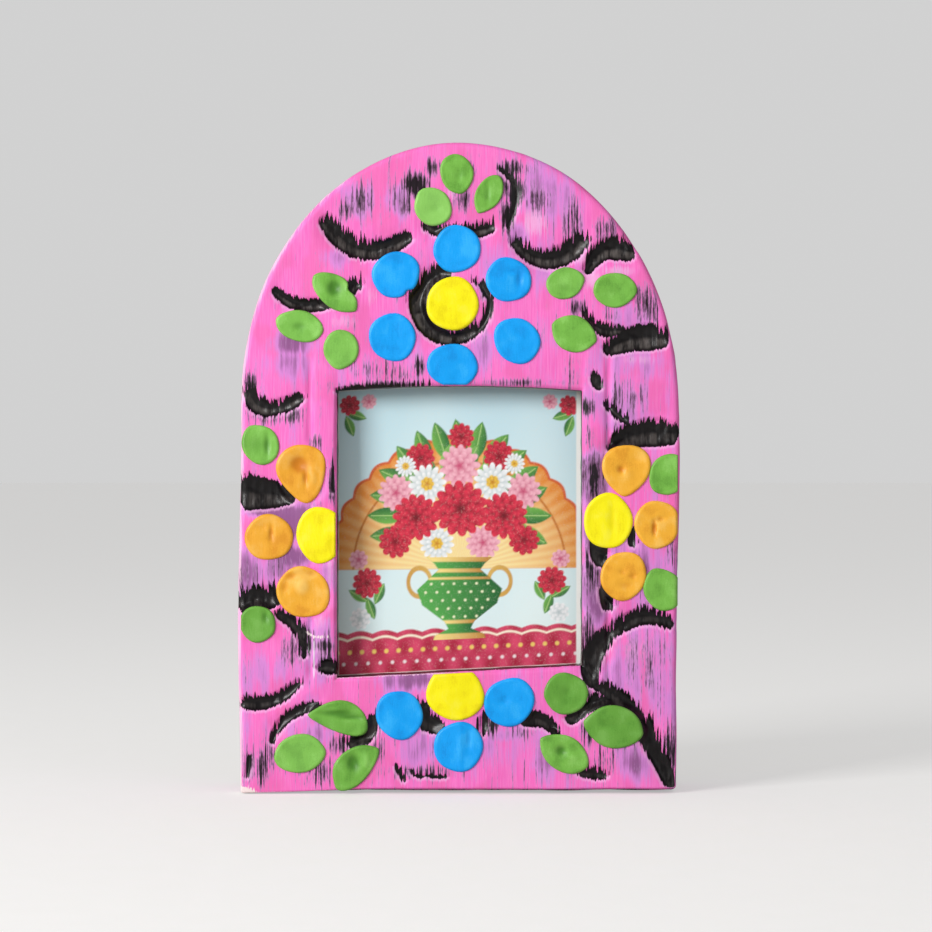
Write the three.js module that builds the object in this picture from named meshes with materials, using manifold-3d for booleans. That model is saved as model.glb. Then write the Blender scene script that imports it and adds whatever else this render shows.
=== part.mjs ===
// A mini nicho: an arched, hand-carved wooden frame round a window with a paper picture in it.
// Millimetres, +Z up. The front faces -Y and the base stands on z = 0.
import * as THREE from "three";
import { mergeVertices } from "three/addons/utils/BufferGeometryUtils.js";
import Module from "manifold-3d";

const wasm = await Module();
wasm.setup();

// Frame
const WIDTH = 51;
const SIDE_HEIGHT = 46;
const ARCH_RISE = 30;
const FRAME_DEPTH = 4.6;
const CORNER_RADIUS = 1.2;
const EDGE_ROUND = 0.6;

// Window cut through the frame
const WINDOW_WIDTH = 28.6;
const WINDOW_HEIGHT = 33;
const WINDOW_BASE = 14.2;

// Board behind the frame, and the paper glued to it
const BOARD_THICKNESS = 7.9;
const BOARD_INSET = 0.4;
const PAPER_THICKNESS = 0.3;
const PAPER_GAP = 0.3;

// Nails through the board into the frame
const NAIL_SHANK_RADIUS = 0.6;
const NAIL_HEAD_RADIUS = 1.3;
const NAIL_HEAD_THICKNESS = 0.5;
const NAIL_GRIP = 2.4;
const HOLE_CLEARANCE = 0.15;
const NAIL_EDGE_DISTANCE = 4.5;

// Wire loop on the back
const WIRE_RADIUS = 0.6;
const LOOP_HALF_WIDTH = 3.2;
const LOOP_STRAIGHT = 4;
const LOOP_BEND_RADIUS = 1;
const LOOP_BEND_GAP = 0.1;
const LOOP_LEG_SHARE = 0.5;
const LOOP_BELOW_TOP = 17;

// Paint dabs on the front
const DAB_RISE = 0.4;
const DAB_EDGE = 0.14;

// Each border's pattern is drawn at these sizes and stretched to the border it has to fill.
const TOP_DRAWN = { width: 51, height: 28.8 };
const SIDE_DRAWN = { width: 11.2, height: 33 };
const BASE_DRAWN = { width: 51, height: 14.2 };

const ARCH_STEPS = 52;
const CORNER_STEPS = 4;
const ROUND_STEPS = 12;
const GOUGE_STEPS = 10;
const DAB_STEPS = 24;

const HALF_WIDTH = WIDTH / 2;
const HEIGHT = SIDE_HEIGHT + ARCH_RISE;
const WINDOW_TOP = WINDOW_BASE + WINDOW_HEIGHT;
const SIDE_BORDER = HALF_WIDTH - WINDOW_WIDTH / 2;
const NAIL_LENGTH = BOARD_THICKNESS + NAIL_GRIP;
const LOOP_LEG = BOARD_THICKNESS * LOOP_LEG_SHARE;
const LOOP_STAND_OFF = LOOP_BEND_RADIUS + LOOP_BEND_GAP;
const LOOP_REACH = LOOP_STAND_OFF + WIRE_RADIUS;
const TOTAL_DEPTH = DAB_RISE + FRAME_DEPTH + BOARD_THICKNESS + LOOP_REACH;
const FRONT_Y = DAB_RISE - TOTAL_DEPTH / 2;
const SEAM_Y = FRONT_Y + FRAME_DEPTH;
const BACK_Y = SEAM_Y + BOARD_THICKNESS;

const PINK = "#f070bc";
const PALE_WOOD = "#b98d5d";
const PAPER = "#dfeef0";
const STEEL = "#8d9094";
const BLUE = "#0aa0fa";
const YELLOW = "#fbee0a";
const ORANGE = "#f8b834";
const GREEN = "#74b848";

const nicho = new THREE.Group();
nicho.name = "mini_nicho";

// Adds one named piece with its own material.
function piece(name, geometry, color, roughness, metalness = 0) {
  const material = new THREE.MeshStandardMaterial({ color, roughness, metalness });
  const mesh = new THREE.Mesh(geometry, material);
  mesh.name = name;
  nicho.add(mesh);
}

// A geometry as a closed body that can be joined and cut.
function solid(geometry) {
  const bare = geometry.clone();
  bare.deleteAttribute("normal");
  bare.deleteAttribute("uv");
  const merged = mergeVertices(bare, 1e-4);
  const vertProperties = merged.attributes.position.array;
  const triVerts = new Uint32Array(merged.index.array);
  return new wasm.Manifold(new wasm.Mesh({ numProp: 3, vertProperties, triVerts }));
}

// A closed body as a geometry with flat-shaded faces.
function geometryOf(body) {
  const mesh = body.getMesh();
  const indexed = new THREE.BufferGeometry();
  indexed.setAttribute("position", new THREE.BufferAttribute(mesh.vertProperties, 3));
  indexed.setIndex(new THREE.BufferAttribute(mesh.triVerts, 1));
  const flat = indexed.toNonIndexed();
  flat.computeVertexNormals();
  return flat;
}

// Points on an elliptical arc in the x, z plane, from one angle to another.
function arc(x, z, rx, rz, from, to, steps) {
  const points = [];
  for (let i = 0; i <= steps; i += 1) {
    const angle = from + ((to - from) * i) / steps;
    points.push(new THREE.Vector2(x + rx * Math.cos(angle), z + rz * Math.sin(angle)));
  }
  return points;
}

// The arch outline: straight sides on a level base under half an ellipse. An inset leaves the base level.
function archShape(inset) {
  const half = HALF_WIDTH - inset;
  const corner = half - CORNER_RADIUS;
  const quarter = Math.PI / 2;
  return new THREE.Shape([
    ...arc(corner, CORNER_RADIUS, CORNER_RADIUS, CORNER_RADIUS, -quarter, 0, CORNER_STEPS),
    ...arc(0, SIDE_HEIGHT, half, ARCH_RISE - inset, 0, Math.PI, ARCH_STEPS),
    ...arc(-corner, CORNER_RADIUS, CORNER_RADIUS, CORNER_RADIUS, 2 * quarter, 3 * quarter, CORNER_STEPS),
  ]);
}

// A plain slab with a given outline between two y planes.
function slab(shape, fromY, toY) {
  const geometry = new THREE.ExtrudeGeometry(shape, { depth: toY - fromY, bevelEnabled: false });
  return solid(geometry.rotateX(Math.PI / 2).translate(0, toY, 0));
}

// A box given by its size and the middle of its faces.
function block(sizeX, sizeY, sizeZ, x, y, z) {
  return solid(new THREE.BoxGeometry(sizeX, sizeY, sizeZ).translate(x, y, z));
}

// A round drill along y that ends at toY and starts clear of the back.
function drill(radius, x, z, toY) {
  const length = BACK_Y - toY + 1;
  const cylinder = new THREE.CylinderGeometry(radius, radius, length, ROUND_STEPS);
  return solid(cylinder.translate(x, toY + length / 2, z));
}

// Nails stand near the four corners of the board, the upper two on the arch's shoulders.
const lowerNailX = HALF_WIDTH - NAIL_EDGE_DISTANCE;
const upperNailZ = (WINDOW_TOP + HEIGHT) / 2;
const shoulder = (upperNailZ - SIDE_HEIGHT) / ARCH_RISE;
const upperNailX = HALF_WIDTH * Math.sqrt(1 - shoulder * shoulder) - NAIL_EDGE_DISTANCE;
const nailSpots = [
  [-lowerNailX, WINDOW_BASE / 2],
  [lowerNailX, WINDOW_BASE / 2],
  [-upperNailX, upperNailZ],
  [upperNailX, upperNailZ],
];
const loopZ = HEIGHT - LOOP_BELOW_TOP;
const nailHole = NAIL_SHANK_RADIUS + HOLE_CLEARANCE;
const wireHole = WIRE_RADIUS + HOLE_CLEARANCE;

// A border of the front: where its drawing's origin lies, and how its drawing is stretched to fill it.
function border(x, z, stretchX, stretchZ) {
  return { x, z, stretchX, stretchZ, size: Math.min(stretchX, stretchZ) };
}

// Where a point of a border's drawing lies on the front.
function placeIn(where, [x, z]) {
  return [where.x + x * where.stretchX, where.z + z * where.stretchZ];
}
const windowMiddle = WINDOW_BASE + WINDOW_HEIGHT / 2;
const sideStretch = [SIDE_BORDER / SIDE_DRAWN.width, WINDOW_HEIGHT / SIDE_DRAWN.height];
const TOP = border(0, WINDOW_TOP, WIDTH / TOP_DRAWN.width, (HEIGHT - WINDOW_TOP) / TOP_DRAWN.height);
const LEFT = border(-WINDOW_WIDTH / 2, windowMiddle, ...sideStretch);
const RIGHT = border(WINDOW_WIDTH / 2, windowMiddle, ...sideStretch);
const BASE = border(0, 0, WIDTH / BASE_DRAWN.width, WINDOW_BASE / BASE_DRAWN.height);

// Gouge marks: a round-nosed cutter follows a curve and dips into the front, deepest halfway along.
const gougeMarks = [];
function gougeAlong(curve, width, depth) {
  const radius = (width * width) / (8 * depth) + depth / 2;
  const points = [];
  for (let i = 0; i <= GOUGE_STEPS; i += 1) {
    const along = i / GOUGE_STEPS;
    const dip = depth * Math.sqrt(Math.sin(Math.PI * along));
    const [x, z] = curve(along);
    points.push(new THREE.Vector3(x, FRONT_Y - radius + dip, z));
  }
  const section = new THREE.Shape(arc(0, 0, radius, radius, 0, 2 * Math.PI, ROUND_STEPS).slice(1));
  const extrudePath = new THREE.CatmullRomCurve3(points);
  gougeMarks.push(solid(new THREE.ExtrudeGeometry(section, { steps: GOUGE_STEPS, extrudePath })));
}

// A gouge mark that starts, passes and ends at three points of its border's drawing.
function gouge(where, start, pass, end, width, depth) {
  const [from, middle, to] = [start, pass, end].map((point) => placeIn(where, point));
  const pull = [0, 1].map((k) => 2 * middle[k] - (from[k] + to[k]) / 2);
  const curve = (t) => [0, 1].map((k) => (1 - t) ** 2 * from[k] + 2 * t * (1 - t) * pull[k] + t * t * to[k]);
  gougeAlong(curve, width * where.size, depth);
}

// A gouge mark round part of a circle, between two angles in degrees.
function ringGouge(where, x, z, radius, fromAngle, toAngle, width, depth) {
  const [middleX, middleZ] = placeIn(where, [x, z]);
  const reach = radius * where.size;
  const curve = (t) => {
    const angle = ((fromAngle + (toAngle - fromAngle) * t) * Math.PI) / 180;
    return [middleX + reach * Math.cos(angle), middleZ + reach * Math.sin(angle)];
  };
  gougeAlong(curve, width * where.size, depth);
}

gouge(TOP, [-15.5, 19.9], [-10.2, 15.9], [-5.8, 17.9], 2.1, 0.7);
gouge(TOP, [-21.5, 12], [-15.1, 8.9], [-11.4, 13], 1.9, 0.6);
gouge(TOP, [-3.9, 19.4], [-0.2, 17.3], [3.7, 18.9], 1.9, 0.6);
gouge(TOP, [6.7, 17], [10.1, 14.6], [14.4, 17.2], 2, 0.7);
gouge(TOP, [5.2, 26], [6.9, 22.5], [6, 17.5], 2.1, 0.3);
gouge(TOP, [14.7, 14], [17.2, 17], [20.3, 15.6], 2.6, 0.8);
gouge(TOP, [14.3, 9.3], [15.5, 6.7], [18, 5.9], 1.4, 0.5);
gouge(TOP, [16.8, 5.1], [20.6, 5.9], [24.4, 5.7], 3.3, 0.9);
ringGouge(TOP, -0.8, 9.9, 3.9, 100, 350, 2.4, 0.7);

gouge(LEFT, [-11, 16.3], [-8, 13.9], [-4, 15.4], 2, 0.6);
gouge(LEFT, [-11.3, 5.2], [-8.1, 4.5], [-4.6, 3.2], 3.3, 0.9);
gouge(LEFT, [-11.5, -8], [-9.2, -8], [-6.9, -7.2], 3, 0.8);
gouge(LEFT, [-6.9, -8.6], [-4.3, -11.8], [-3.8, -16.3], 1.9, 0.6);
gouge(LEFT, [-2.9, 21], [-2.8, 15], [-2.7, 8], 1.2, 0.35);

gouge(RIGHT, [2.9, 21], [2.8, 15], [2.6, 10], 1.2, 0.35);
gouge(RIGHT, [3.3, 10.1], [6.7, 11.7], [11.3, 11.5], 3.3, 0.9);
gouge(RIGHT, [1.1, 9.9], [1, 1.2], [3.3, -8.6], 1.5, 0.5);
gouge(RIGHT, [3.1, -11.6], [6.8, -9.2], [11, -11.1], 2.3, 0.7);
gouge(RIGHT, [2.1, -11.1], [1.6, -14.9], [1.5, -18.8], 2.2, 0.8);

gouge(BASE, [-25.6, 11.1], [-22.4, 10.5], [-18.3, 13.3], 2, 0.6);
gouge(BASE, [-22.3, 5.8], [-20.3, 8.4], [-16.8, 10.5], 1.6, 0.5);
gouge(BASE, [-9.5, 10], [-10.2, 7.1], [-13.2, 5], 1.9, 0.5);
gouge(BASE, [7.9, 9.8], [10.3, 9.5], [11.6, 6.9], 1.6, 0.5);
gouge(BASE, [16.1, 13.5], [21.6, 8.6], [24.7, 1.3], 2.6, 0.8);

// Frame: the arch with a rounded front edge, the window, nail holes behind and gouge marks in front.
function frameGeometry() {
  const rounded = new THREE.ExtrudeGeometry(archShape(0), {
    depth: FRAME_DEPTH - EDGE_ROUND,
    bevelThickness: EDGE_ROUND,
    bevelSize: EDGE_ROUND,
    bevelOffset: -EDGE_ROUND,
    bevelSegments: 3,
  });
  const middleY = (FRONT_Y + SEAM_Y) / 2;
  const keep = block(2 * WIDTH, FRAME_DEPTH, 3 * HEIGHT, 0, middleY, 0);
  const window = block(WINDOW_WIDTH, 2 * FRAME_DEPTH, WINDOW_HEIGHT, 0, middleY, windowMiddle);
  let body = solid(rounded.rotateX(Math.PI / 2).translate(0, SEAM_Y, 0));
  body = body.intersect(keep).subtract(window);
  for (const [x, z] of nailSpots) {
    body = body.subtract(drill(nailHole, x, z, BACK_Y - NAIL_LENGTH - HOLE_CLEARANCE));
  }
  for (const mark of gougeMarks) {
    body = body.subtract(mark);
  }
  return geometryOf(body);
}

// Board: the same arch a little smaller, with holes for the nails and the wire's legs.
function boardGeometry() {
  let body = slab(archShape(BOARD_INSET), SEAM_Y, BACK_Y);
  for (const [x, z] of nailSpots) {
    body = body.subtract(drill(nailHole, x, z, SEAM_Y - 1));
  }
  for (const side of [-1, 1]) {
    const legX = side * LOOP_HALF_WIDTH;
    body = body.subtract(drill(wireHole, legX, loopZ, BACK_Y - LOOP_LEG - HOLE_CLEARANCE));
  }
  return geometryOf(body);
}

// Nail: a pointed shank under a flat head, turned about y.
function nailGeometry() {
  const profile = [
    new THREE.Vector2(0, -NAIL_LENGTH),
    new THREE.Vector2(NAIL_SHANK_RADIUS, -NAIL_LENGTH + 2 * NAIL_SHANK_RADIUS),
    new THREE.Vector2(NAIL_SHANK_RADIUS, 0),
    new THREE.Vector2(NAIL_HEAD_RADIUS, 0),
    new THREE.Vector2(NAIL_HEAD_RADIUS, NAIL_HEAD_THICKNESS * 0.6),
    new THREE.Vector2(NAIL_HEAD_RADIUS * 0.8, NAIL_HEAD_THICKNESS),
    new THREE.Vector2(0, NAIL_HEAD_THICKNESS),
  ];
  return new THREE.LatheGeometry(profile, ROUND_STEPS);
}

// Wire loop: a leg out of the board, a bend upwards, round the top and down into the other leg.
function loopGeometry() {
  const planeY = BACK_Y + LOOP_STAND_OFF;
  const bend = LOOP_BEND_RADIUS;
  const topZ = loopZ + bend + LOOP_STRAIGHT;
  const path = new THREE.CurvePath();
  const at = (side, y, z) => new THREE.Vector3(side * LOOP_HALF_WIDTH, y, z);
  const bow = arc(0, topZ, LOOP_HALF_WIDTH, LOOP_HALF_WIDTH, Math.PI, 0, ROUND_STEPS);
  path.add(new THREE.LineCurve3(at(-1, BACK_Y - LOOP_LEG, loopZ), at(-1, planeY - bend, loopZ)));
  path.add(new THREE.QuadraticBezierCurve3(
    at(-1, planeY - bend, loopZ), at(-1, planeY, loopZ), at(-1, planeY, loopZ + bend)));
  path.add(new THREE.LineCurve3(at(-1, planeY, loopZ + bend), at(-1, planeY, topZ)));
  path.add(new THREE.CatmullRomCurve3(bow.map((p) => new THREE.Vector3(p.x, planeY, p.y))));
  path.add(new THREE.LineCurve3(at(1, planeY, topZ), at(1, planeY, loopZ + bend)));
  path.add(new THREE.QuadraticBezierCurve3(
    at(1, planeY, loopZ + bend), at(1, planeY, loopZ), at(1, planeY - bend, loopZ)));
  path.add(new THREE.LineCurve3(at(1, planeY - bend, loopZ), at(1, BACK_Y - LOOP_LEG, loopZ)));
  const section = new THREE.Shape(arc(0, 0, WIRE_RADIUS, WIRE_RADIUS, 0, 2 * Math.PI, ROUND_STEPS).slice(1));
  return new THREE.ExtrudeGeometry(section, { steps: 64, extrudePath: path });
}

// The flat part of the front, as deep as any dab, which trims a dab at the frame's edge or the window.
const facePlate = slab(archShape(EDGE_ROUND), FRONT_Y - 2 * DAB_RISE, FRONT_Y + DAB_RISE).subtract(
  block(WINDOW_WIDTH, 8 * DAB_RISE, WINDOW_HEIGHT, 0, FRONT_Y, windowMiddle));

// A dab of thick paint: a low dome. A power of the sine points both ends, and taper makes it an egg.
function dabGeometry(x, z, long, wide, tilt, point, taper) {
  const turn = (tilt * Math.PI) / 180;
  const rings = [[1, 0], [1, DAB_EDGE], [0.86, 0.62 * DAB_RISE], [0.5, 0.92 * DAB_RISE]];
  const positions = [x, FRONT_Y, z, x, FRONT_Y - DAB_RISE, z];
  const indices = [];
  const ringStart = (ring) => 2 + ring * DAB_STEPS;
  for (const [reach, rise] of rings) {
    for (let i = 0; i < DAB_STEPS; i += 1) {
      const angle = (2 * Math.PI * i) / DAB_STEPS;
      const sine = Math.sin(angle);
      const along = (reach * long * Math.cos(angle)) / 2;
      const across = (reach * wide * sine * Math.abs(sine) ** point * (1 - taper * Math.cos(angle))) / 2;
      const dx = along * Math.cos(turn) - across * Math.sin(turn);
      const dz = along * Math.sin(turn) + across * Math.cos(turn);
      positions.push(x + dx, FRONT_Y - rise, z + dz);
    }
  }
  for (let i = 0; i < DAB_STEPS; i += 1) {
    const next = (i + 1) % DAB_STEPS;
    indices.push(0, ringStart(0) + next, ringStart(0) + i);
    indices.push(1, ringStart(3) + i, ringStart(3) + next);
    for (let ring = 0; ring < 3; ring += 1) {
      const low = ringStart(ring);
      const high = ringStart(ring + 1);
      indices.push(low + i, low + next, high + next, low + i, high + next, high + i);
    }
  }
  const geometry = new THREE.BufferGeometry();
  geometry.setAttribute("position", new THREE.Float32BufferAttribute(positions, 3));
  geometry.setIndex(indices);
  return geometryOf(solid(geometry).intersect(facePlate));
}

// One dab, placed in its border's drawing.
function dab(name, color, where, x, z, long, wide, tilt = 0, point = 0, taper = 0) {
  const [placedX, placedZ] = placeIn(where, [x, z]);
  const size = where.size;
  piece(name, dabGeometry(placedX, placedZ, long * size, wide * size, tilt, point, taper), color, 0.35);
}

// A pointed leaf is drawn with point 0.35, a blunt one with less.
const LEAF = 0.35;
const BLUNT = 0.12;

piece("front_frame", frameGeometry(), PINK, 0.55);
piece("back_board", boardGeometry(), PALE_WOOD, 0.8);
const paperSize = [WINDOW_WIDTH - 2 * PAPER_GAP, WINDOW_HEIGHT - 2 * PAPER_GAP];
const paper = new THREE.BoxGeometry(paperSize[0], PAPER_THICKNESS, paperSize[1]);
piece("picture_print", paper.translate(0, SEAM_Y - PAPER_THICKNESS / 2, windowMiddle), PAPER, 0.5);
nailSpots.forEach(([x, z], i) => {
  piece(`brad_${i + 1}`, nailGeometry().translate(x, BACK_Y, z), STEEL, 0.4, 1);
});
piece("hanging_loop", loopGeometry(), STEEL, 0.4, 1);

dab("flower_top_centre", YELLOW, TOP, -0.8, 9.9, 6.2, 6.2);
dab("flower_top_petal_1", BLUE, TOP, -0.3, 16.3, 5.6, 5.5);
dab("flower_top_petal_2", BLUE, TOP, 5.7, 12.7, 5.3, 5.2, 144);
dab("flower_top_petal_3", BLUE, TOP, 6.7, 5.6, 5.6, 5.2, 140);
dab("flower_top_petal_4", BLUE, TOP, -0.8, 2.7, 6.1, 5, -10);
dab("flower_top_petal_5", BLUE, TOP, -7.8, 6, 5.7, 5.4, 138);
dab("flower_top_petal_6", BLUE, TOP, -7.4, 13.3, 5.7, 5.3, 17);

dab("flower_left_centre", YELLOW, LEFT, -1.9, -0.5, 6.5, 5.7, 90);
dab("flower_left_petal_1", ORANGE, LEFT, -4, 6.6, 7, 5.6, -80, 0.1, 0.22);
dab("flower_left_petal_2", ORANGE, LEFT, -7.9, -0.8, 5.7, 5.3, 171);
dab("flower_left_petal_3", ORANGE, LEFT, -3.9, -7.2, 6.4, 5.8, 141);

dab("flower_right_centre", YELLOW, RIGHT, 3, 1.1, 6.6, 5.6, 88);
dab("flower_right_petal_1", ORANGE, RIGHT, 5.1, 7, 6.1, 5.5, -96, 0.1, 0.16);
dab("flower_right_petal_2", ORANGE, RIGHT, 8.7, 0.7, 5.7, 5.2, 87);
dab("flower_right_petal_3", ORANGE, RIGHT, 4.8, -5.3, 5.9, 5.2, 63);

dab("flower_base_centre", YELLOW, BASE, -0.5, 11.7, 6.9, 6.2, -8);
dab("flower_base_petal_1", BLUE, BASE, 5.8, 10.7, 6, 5.6, 42);
dab("flower_base_petal_2", BLUE, BASE, -7, 9.2, 5.7, 5.5, 135);
dab("flower_base_petal_3", BLUE, BASE, -0.1, 5.5, 5.9, 5.7, 92);

dab("leaf_top_1", GREEN, TOP, -3.1, 21.2, 4.8, 4.2, 136, BLUNT);
dab("leaf_top_2", GREEN, TOP, -0.3, 25, 4.8, 3.8, -78, BLUNT, 0.12);
dab("leaf_top_3", GREEN, TOP, 3.4, 22.7, 5, 3, 62, LEAF);

dab("leaf_upper_left_1", GREEN, TOP, -14.5, 11.2, 6.5, 3.7, 140, LEAF);
dab("leaf_upper_left_2", GREEN, TOP, -18.6, 7.3, 5.6, 3.7, 165, BLUNT);
dab("leaf_upper_left_3", GREEN, TOP, -13.8, 4.6, 4.6, 4.2, 80, BLUNT);

dab("leaf_upper_right_1", GREEN, TOP, 12.3, 12.3, 4.5, 3.7, 12, BLUNT);
dab("leaf_upper_right_2", GREEN, TOP, 18.1, 11.5, 5.2, 4, 2, BLUNT);
dab("leaf_upper_right_3", GREEN, TOP, 13.3, 6.4, 5.6, 4.2, 160, LEAF);

dab("leaf_left_1", GREEN, LEFT, -8.9, 10, 5, 4.2, 120, BLUNT);
dab("leaf_left_2", GREEN, LEFT, -9.2, -10.9, 4.4, 4.2, 152, BLUNT);

dab("leaf_right_1", GREEN, RIGHT, 10, 6.5, 5, 4.4, 55, BLUNT);
dab("leaf_right_2", GREEN, RIGHT, 9.4, -6.9, 5.2, 4.5, 116, BLUNT);

dab("leaf_lower_left_1", GREEN, BASE, -14, 9.2, 7.2, 4.2, 170, LEAF);
dab("leaf_lower_left_2", GREEN, BASE, -18.6, 4.7, 6.1, 4.5, 6, BLUNT);
dab("leaf_lower_left_3", GREEN, BASE, -12.1, 3.1, 6.2, 3.8, 38, LEAF);

dab("leaf_lower_right_1", GREEN, BASE, 12.4, 11.7, 5.2, 4.9, 8, BLUNT);
dab("leaf_lower_right_2", GREEN, BASE, 18, 7.8, 7, 5.1, 168, LEAF);
dab("leaf_lower_right_3", GREEN, BASE, 12.2, 4.7, 6.5, 4.1, 148, LEAF);

export default nicho;
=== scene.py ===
# %% [markdown]
# # A mini nicho: a small arched wall shrine
# A piece of folk art a little smaller than a playing card. A thick wooden arch is carved with a
# gouge, painted black, brushed over with bright pink so that the carved marks stay black, and
# dotted with thick acrylic paint. A paper print is glued to a board behind the window.
# The CAD model gives the fixed sizes, and every piece below is built to them in millimetres, so
# that the fine surfaces lie in the same frame as the plain solids.

# %% Load the fixed frame
from collections import namedtuple
import bpy
import numpy as np
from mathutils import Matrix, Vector


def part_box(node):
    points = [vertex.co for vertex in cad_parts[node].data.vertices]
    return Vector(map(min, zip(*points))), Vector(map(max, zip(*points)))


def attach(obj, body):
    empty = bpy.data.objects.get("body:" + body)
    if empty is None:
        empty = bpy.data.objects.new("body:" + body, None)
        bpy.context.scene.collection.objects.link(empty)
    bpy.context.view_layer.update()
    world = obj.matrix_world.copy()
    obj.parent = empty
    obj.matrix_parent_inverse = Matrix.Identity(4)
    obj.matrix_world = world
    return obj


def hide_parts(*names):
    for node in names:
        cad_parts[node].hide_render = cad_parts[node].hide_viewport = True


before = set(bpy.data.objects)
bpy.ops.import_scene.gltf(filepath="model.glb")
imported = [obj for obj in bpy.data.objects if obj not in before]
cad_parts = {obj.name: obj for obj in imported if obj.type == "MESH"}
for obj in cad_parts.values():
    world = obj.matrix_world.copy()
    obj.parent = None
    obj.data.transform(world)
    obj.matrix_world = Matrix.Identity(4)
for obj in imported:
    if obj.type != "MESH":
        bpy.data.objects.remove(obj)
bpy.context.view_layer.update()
MM = 0.001


def box_mm(node):
    """The lowest and highest corner of a CAD node, in millimetres."""
    low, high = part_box(node)
    return np.array(low) / MM, np.array(high) / MM


frame_low, frame_high = box_mm("front_frame")
print_low, print_high = box_mm("picture_print")
_, board_high = box_mm("back_board")
HALF, TOP = frame_high[0], frame_high[2]
FACE, SEAM, BACK = frame_low[1], frame_high[1], board_high[1]  # y of the front, the joint and the back
SIDE_HEIGHT = 46.0  # the straight part of the sides, below the arch
PRINT_GAP = 0.3     # how much the print is smaller than the window, all round
WINDOW_X = print_high[0] + PRINT_GAP
WINDOW_LOW, WINDOW_HIGH = print_low[2] - PRINT_GAP, print_high[2] + PRINT_GAP
MIDDLE_Z = (WINDOW_LOW + WINDOW_HIGH) / 2
print(f"arch {2 * HALF:.1f} x {TOP:.1f} mm, window {2 * WINDOW_X:.1f} x {WINDOW_HIGH - WINDOW_LOW:.1f} mm")

# %% [markdown]
# ## Where the paint dabs are
# The flowers and leaves are single touches of thick paint. Each has a middle, a length, a width
# and a tilt, and a leaf narrows to points. They come first because the carver left the wood
# standing under them: a gouge mark stops at the button of wood that carries a dab. They could be
# pushed about by hand in the viewport; a table keeps them where the CAD model has them.

# %% The dabs, on the four borders round the window
ORIGINS = {"top": (0, WINDOW_HIGH), "left": (-WINDOW_X, MIDDLE_Z), "right": (WINDOW_X, MIDDLE_Z), "base": (0, 0)}
LEAF, BLUNT = 0.35, 0.12  # how sharply the ends narrow
GROUPS = [  # name, border, colour, and for each dab x, z, length, width, tilt, point and taper
    ("flower_top_centre", "top", "yellow", [(-0.8, 9.9, 6.2, 6.2)]),
    ("flower_top_petal", "top", "blue", [
        (-0.3, 16.3, 5.6, 5.5), (5.7, 12.7, 5.3, 5.2, 144), (6.7, 5.6, 5.6, 5.2, 140),
        (-0.8, 2.7, 6.1, 5.0, -10), (-7.8, 6.0, 5.7, 5.4, 138), (-7.4, 13.3, 5.7, 5.3, 17)]),
    ("leaf_top", "top", "green", [
        (-3.1, 21.2, 4.8, 4.2, 136, BLUNT), (-0.3, 25.0, 4.8, 3.8, -78, BLUNT, 0.12),
        (3.4, 22.7, 5.0, 3.0, 62, LEAF)]),
    ("leaf_upper_left", "top", "green", [
        (-14.5, 11.2, 6.5, 3.7, 140, LEAF), (-18.6, 7.3, 5.6, 3.7, 165, BLUNT),
        (-13.8, 4.6, 4.6, 4.2, 80, BLUNT)]),
    ("leaf_upper_right", "top", "green", [
        (12.3, 12.3, 4.5, 3.7, 12, BLUNT), (18.1, 11.5, 5.2, 4.0, 2, BLUNT), (13.3, 6.4, 5.6, 4.2, 160, LEAF)]),
    ("flower_left_centre", "left", "yellow", [(-1.9, -0.5, 6.5, 5.7, 90)]),
    ("flower_left_petal", "left", "orange", [
        (-4.0, 6.6, 7.0, 5.5, -80, 0.05, 0.28), (-7.9, -0.8, 5.7, 5.3, 171), (-3.9, -7.2, 6.4, 5.8, 141)]),
    ("leaf_left", "left", "green", [(-8.9, 10.0, 5.0, 4.2, 120, BLUNT), (-9.2, -10.9, 4.4, 4.2, 152, BLUNT)]),
    ("flower_right_centre", "right", "yellow", [(3.0, 1.1, 6.6, 5.6, 88)]),
    ("flower_right_petal", "right", "orange", [
        (5.1, 7.0, 6.1, 5.5, -96, 0.1, 0.24), (8.7, 0.7, 5.7, 5.2, 87), (4.8, -5.3, 5.9, 5.2, 63)]),
    ("leaf_right", "right", "green", [(10.0, 6.5, 5.0, 4.4, 55, BLUNT), (9.4, -6.9, 5.2, 4.5, 116, BLUNT)]),
    ("flower_base_centre", "base", "yellow", [(-0.5, 11.7, 6.9, 6.2, -8)]),
    ("flower_base_petal", "base", "blue", [
        (5.8, 10.7, 6.0, 5.6, 42), (-7.0, 9.2, 5.7, 5.5, 135), (-0.1, 5.5, 5.9, 5.7, 92)]),
    ("leaf_lower_left", "base", "green", [
        (-14.0, 8.7, 7.1, 3.8, -15, LEAF, -0.2), (-18.6, 4.7, 6.1, 4.5, 6, BLUNT),
        (-12.1, 3.2, 6.8, 3.9, 43, 0.2, 0.16)]),
    ("leaf_lower_right", "base", "green", [
        (12.4, 11.7, 5.2, 4.9, 8, BLUNT), (18.0, 7.8, 7.0, 5.1, 168, LEAF), (12.2, 4.7, 6.5, 4.1, 148, LEAF)]),
]
Dab = namedtuple("Dab", "node border colour x z length width tilt point taper", defaults=(0, 0, 0))
DABS = []
for name, border, colour, group in GROUPS:
    for k, (x, z, *shape) in enumerate(group, 1):
        node = f"{name}_{k}" if len(group) > 1 else name
        DABS.append(Dab(node, border, colour, ORIGINS[border][0] + x, ORIGINS[border][1] + z, *shape))


def ease(value, start, end):
    """0 before start, 1 after end, and between them the smooth S of 3 t^2 - 2 t^3."""
    t = np.clip((value - start) / (end - start), 0, 1)
    return t * t * (3 - 2 * t)


def turned(x, z, degrees):
    """A point as seen from axes turned by so many degrees: x cos + z sin and z cos - x sin."""
    c, s = np.cos(np.radians(degrees)), np.sin(np.radians(degrees))
    return x * c + z * s, z * c - x * s


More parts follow.
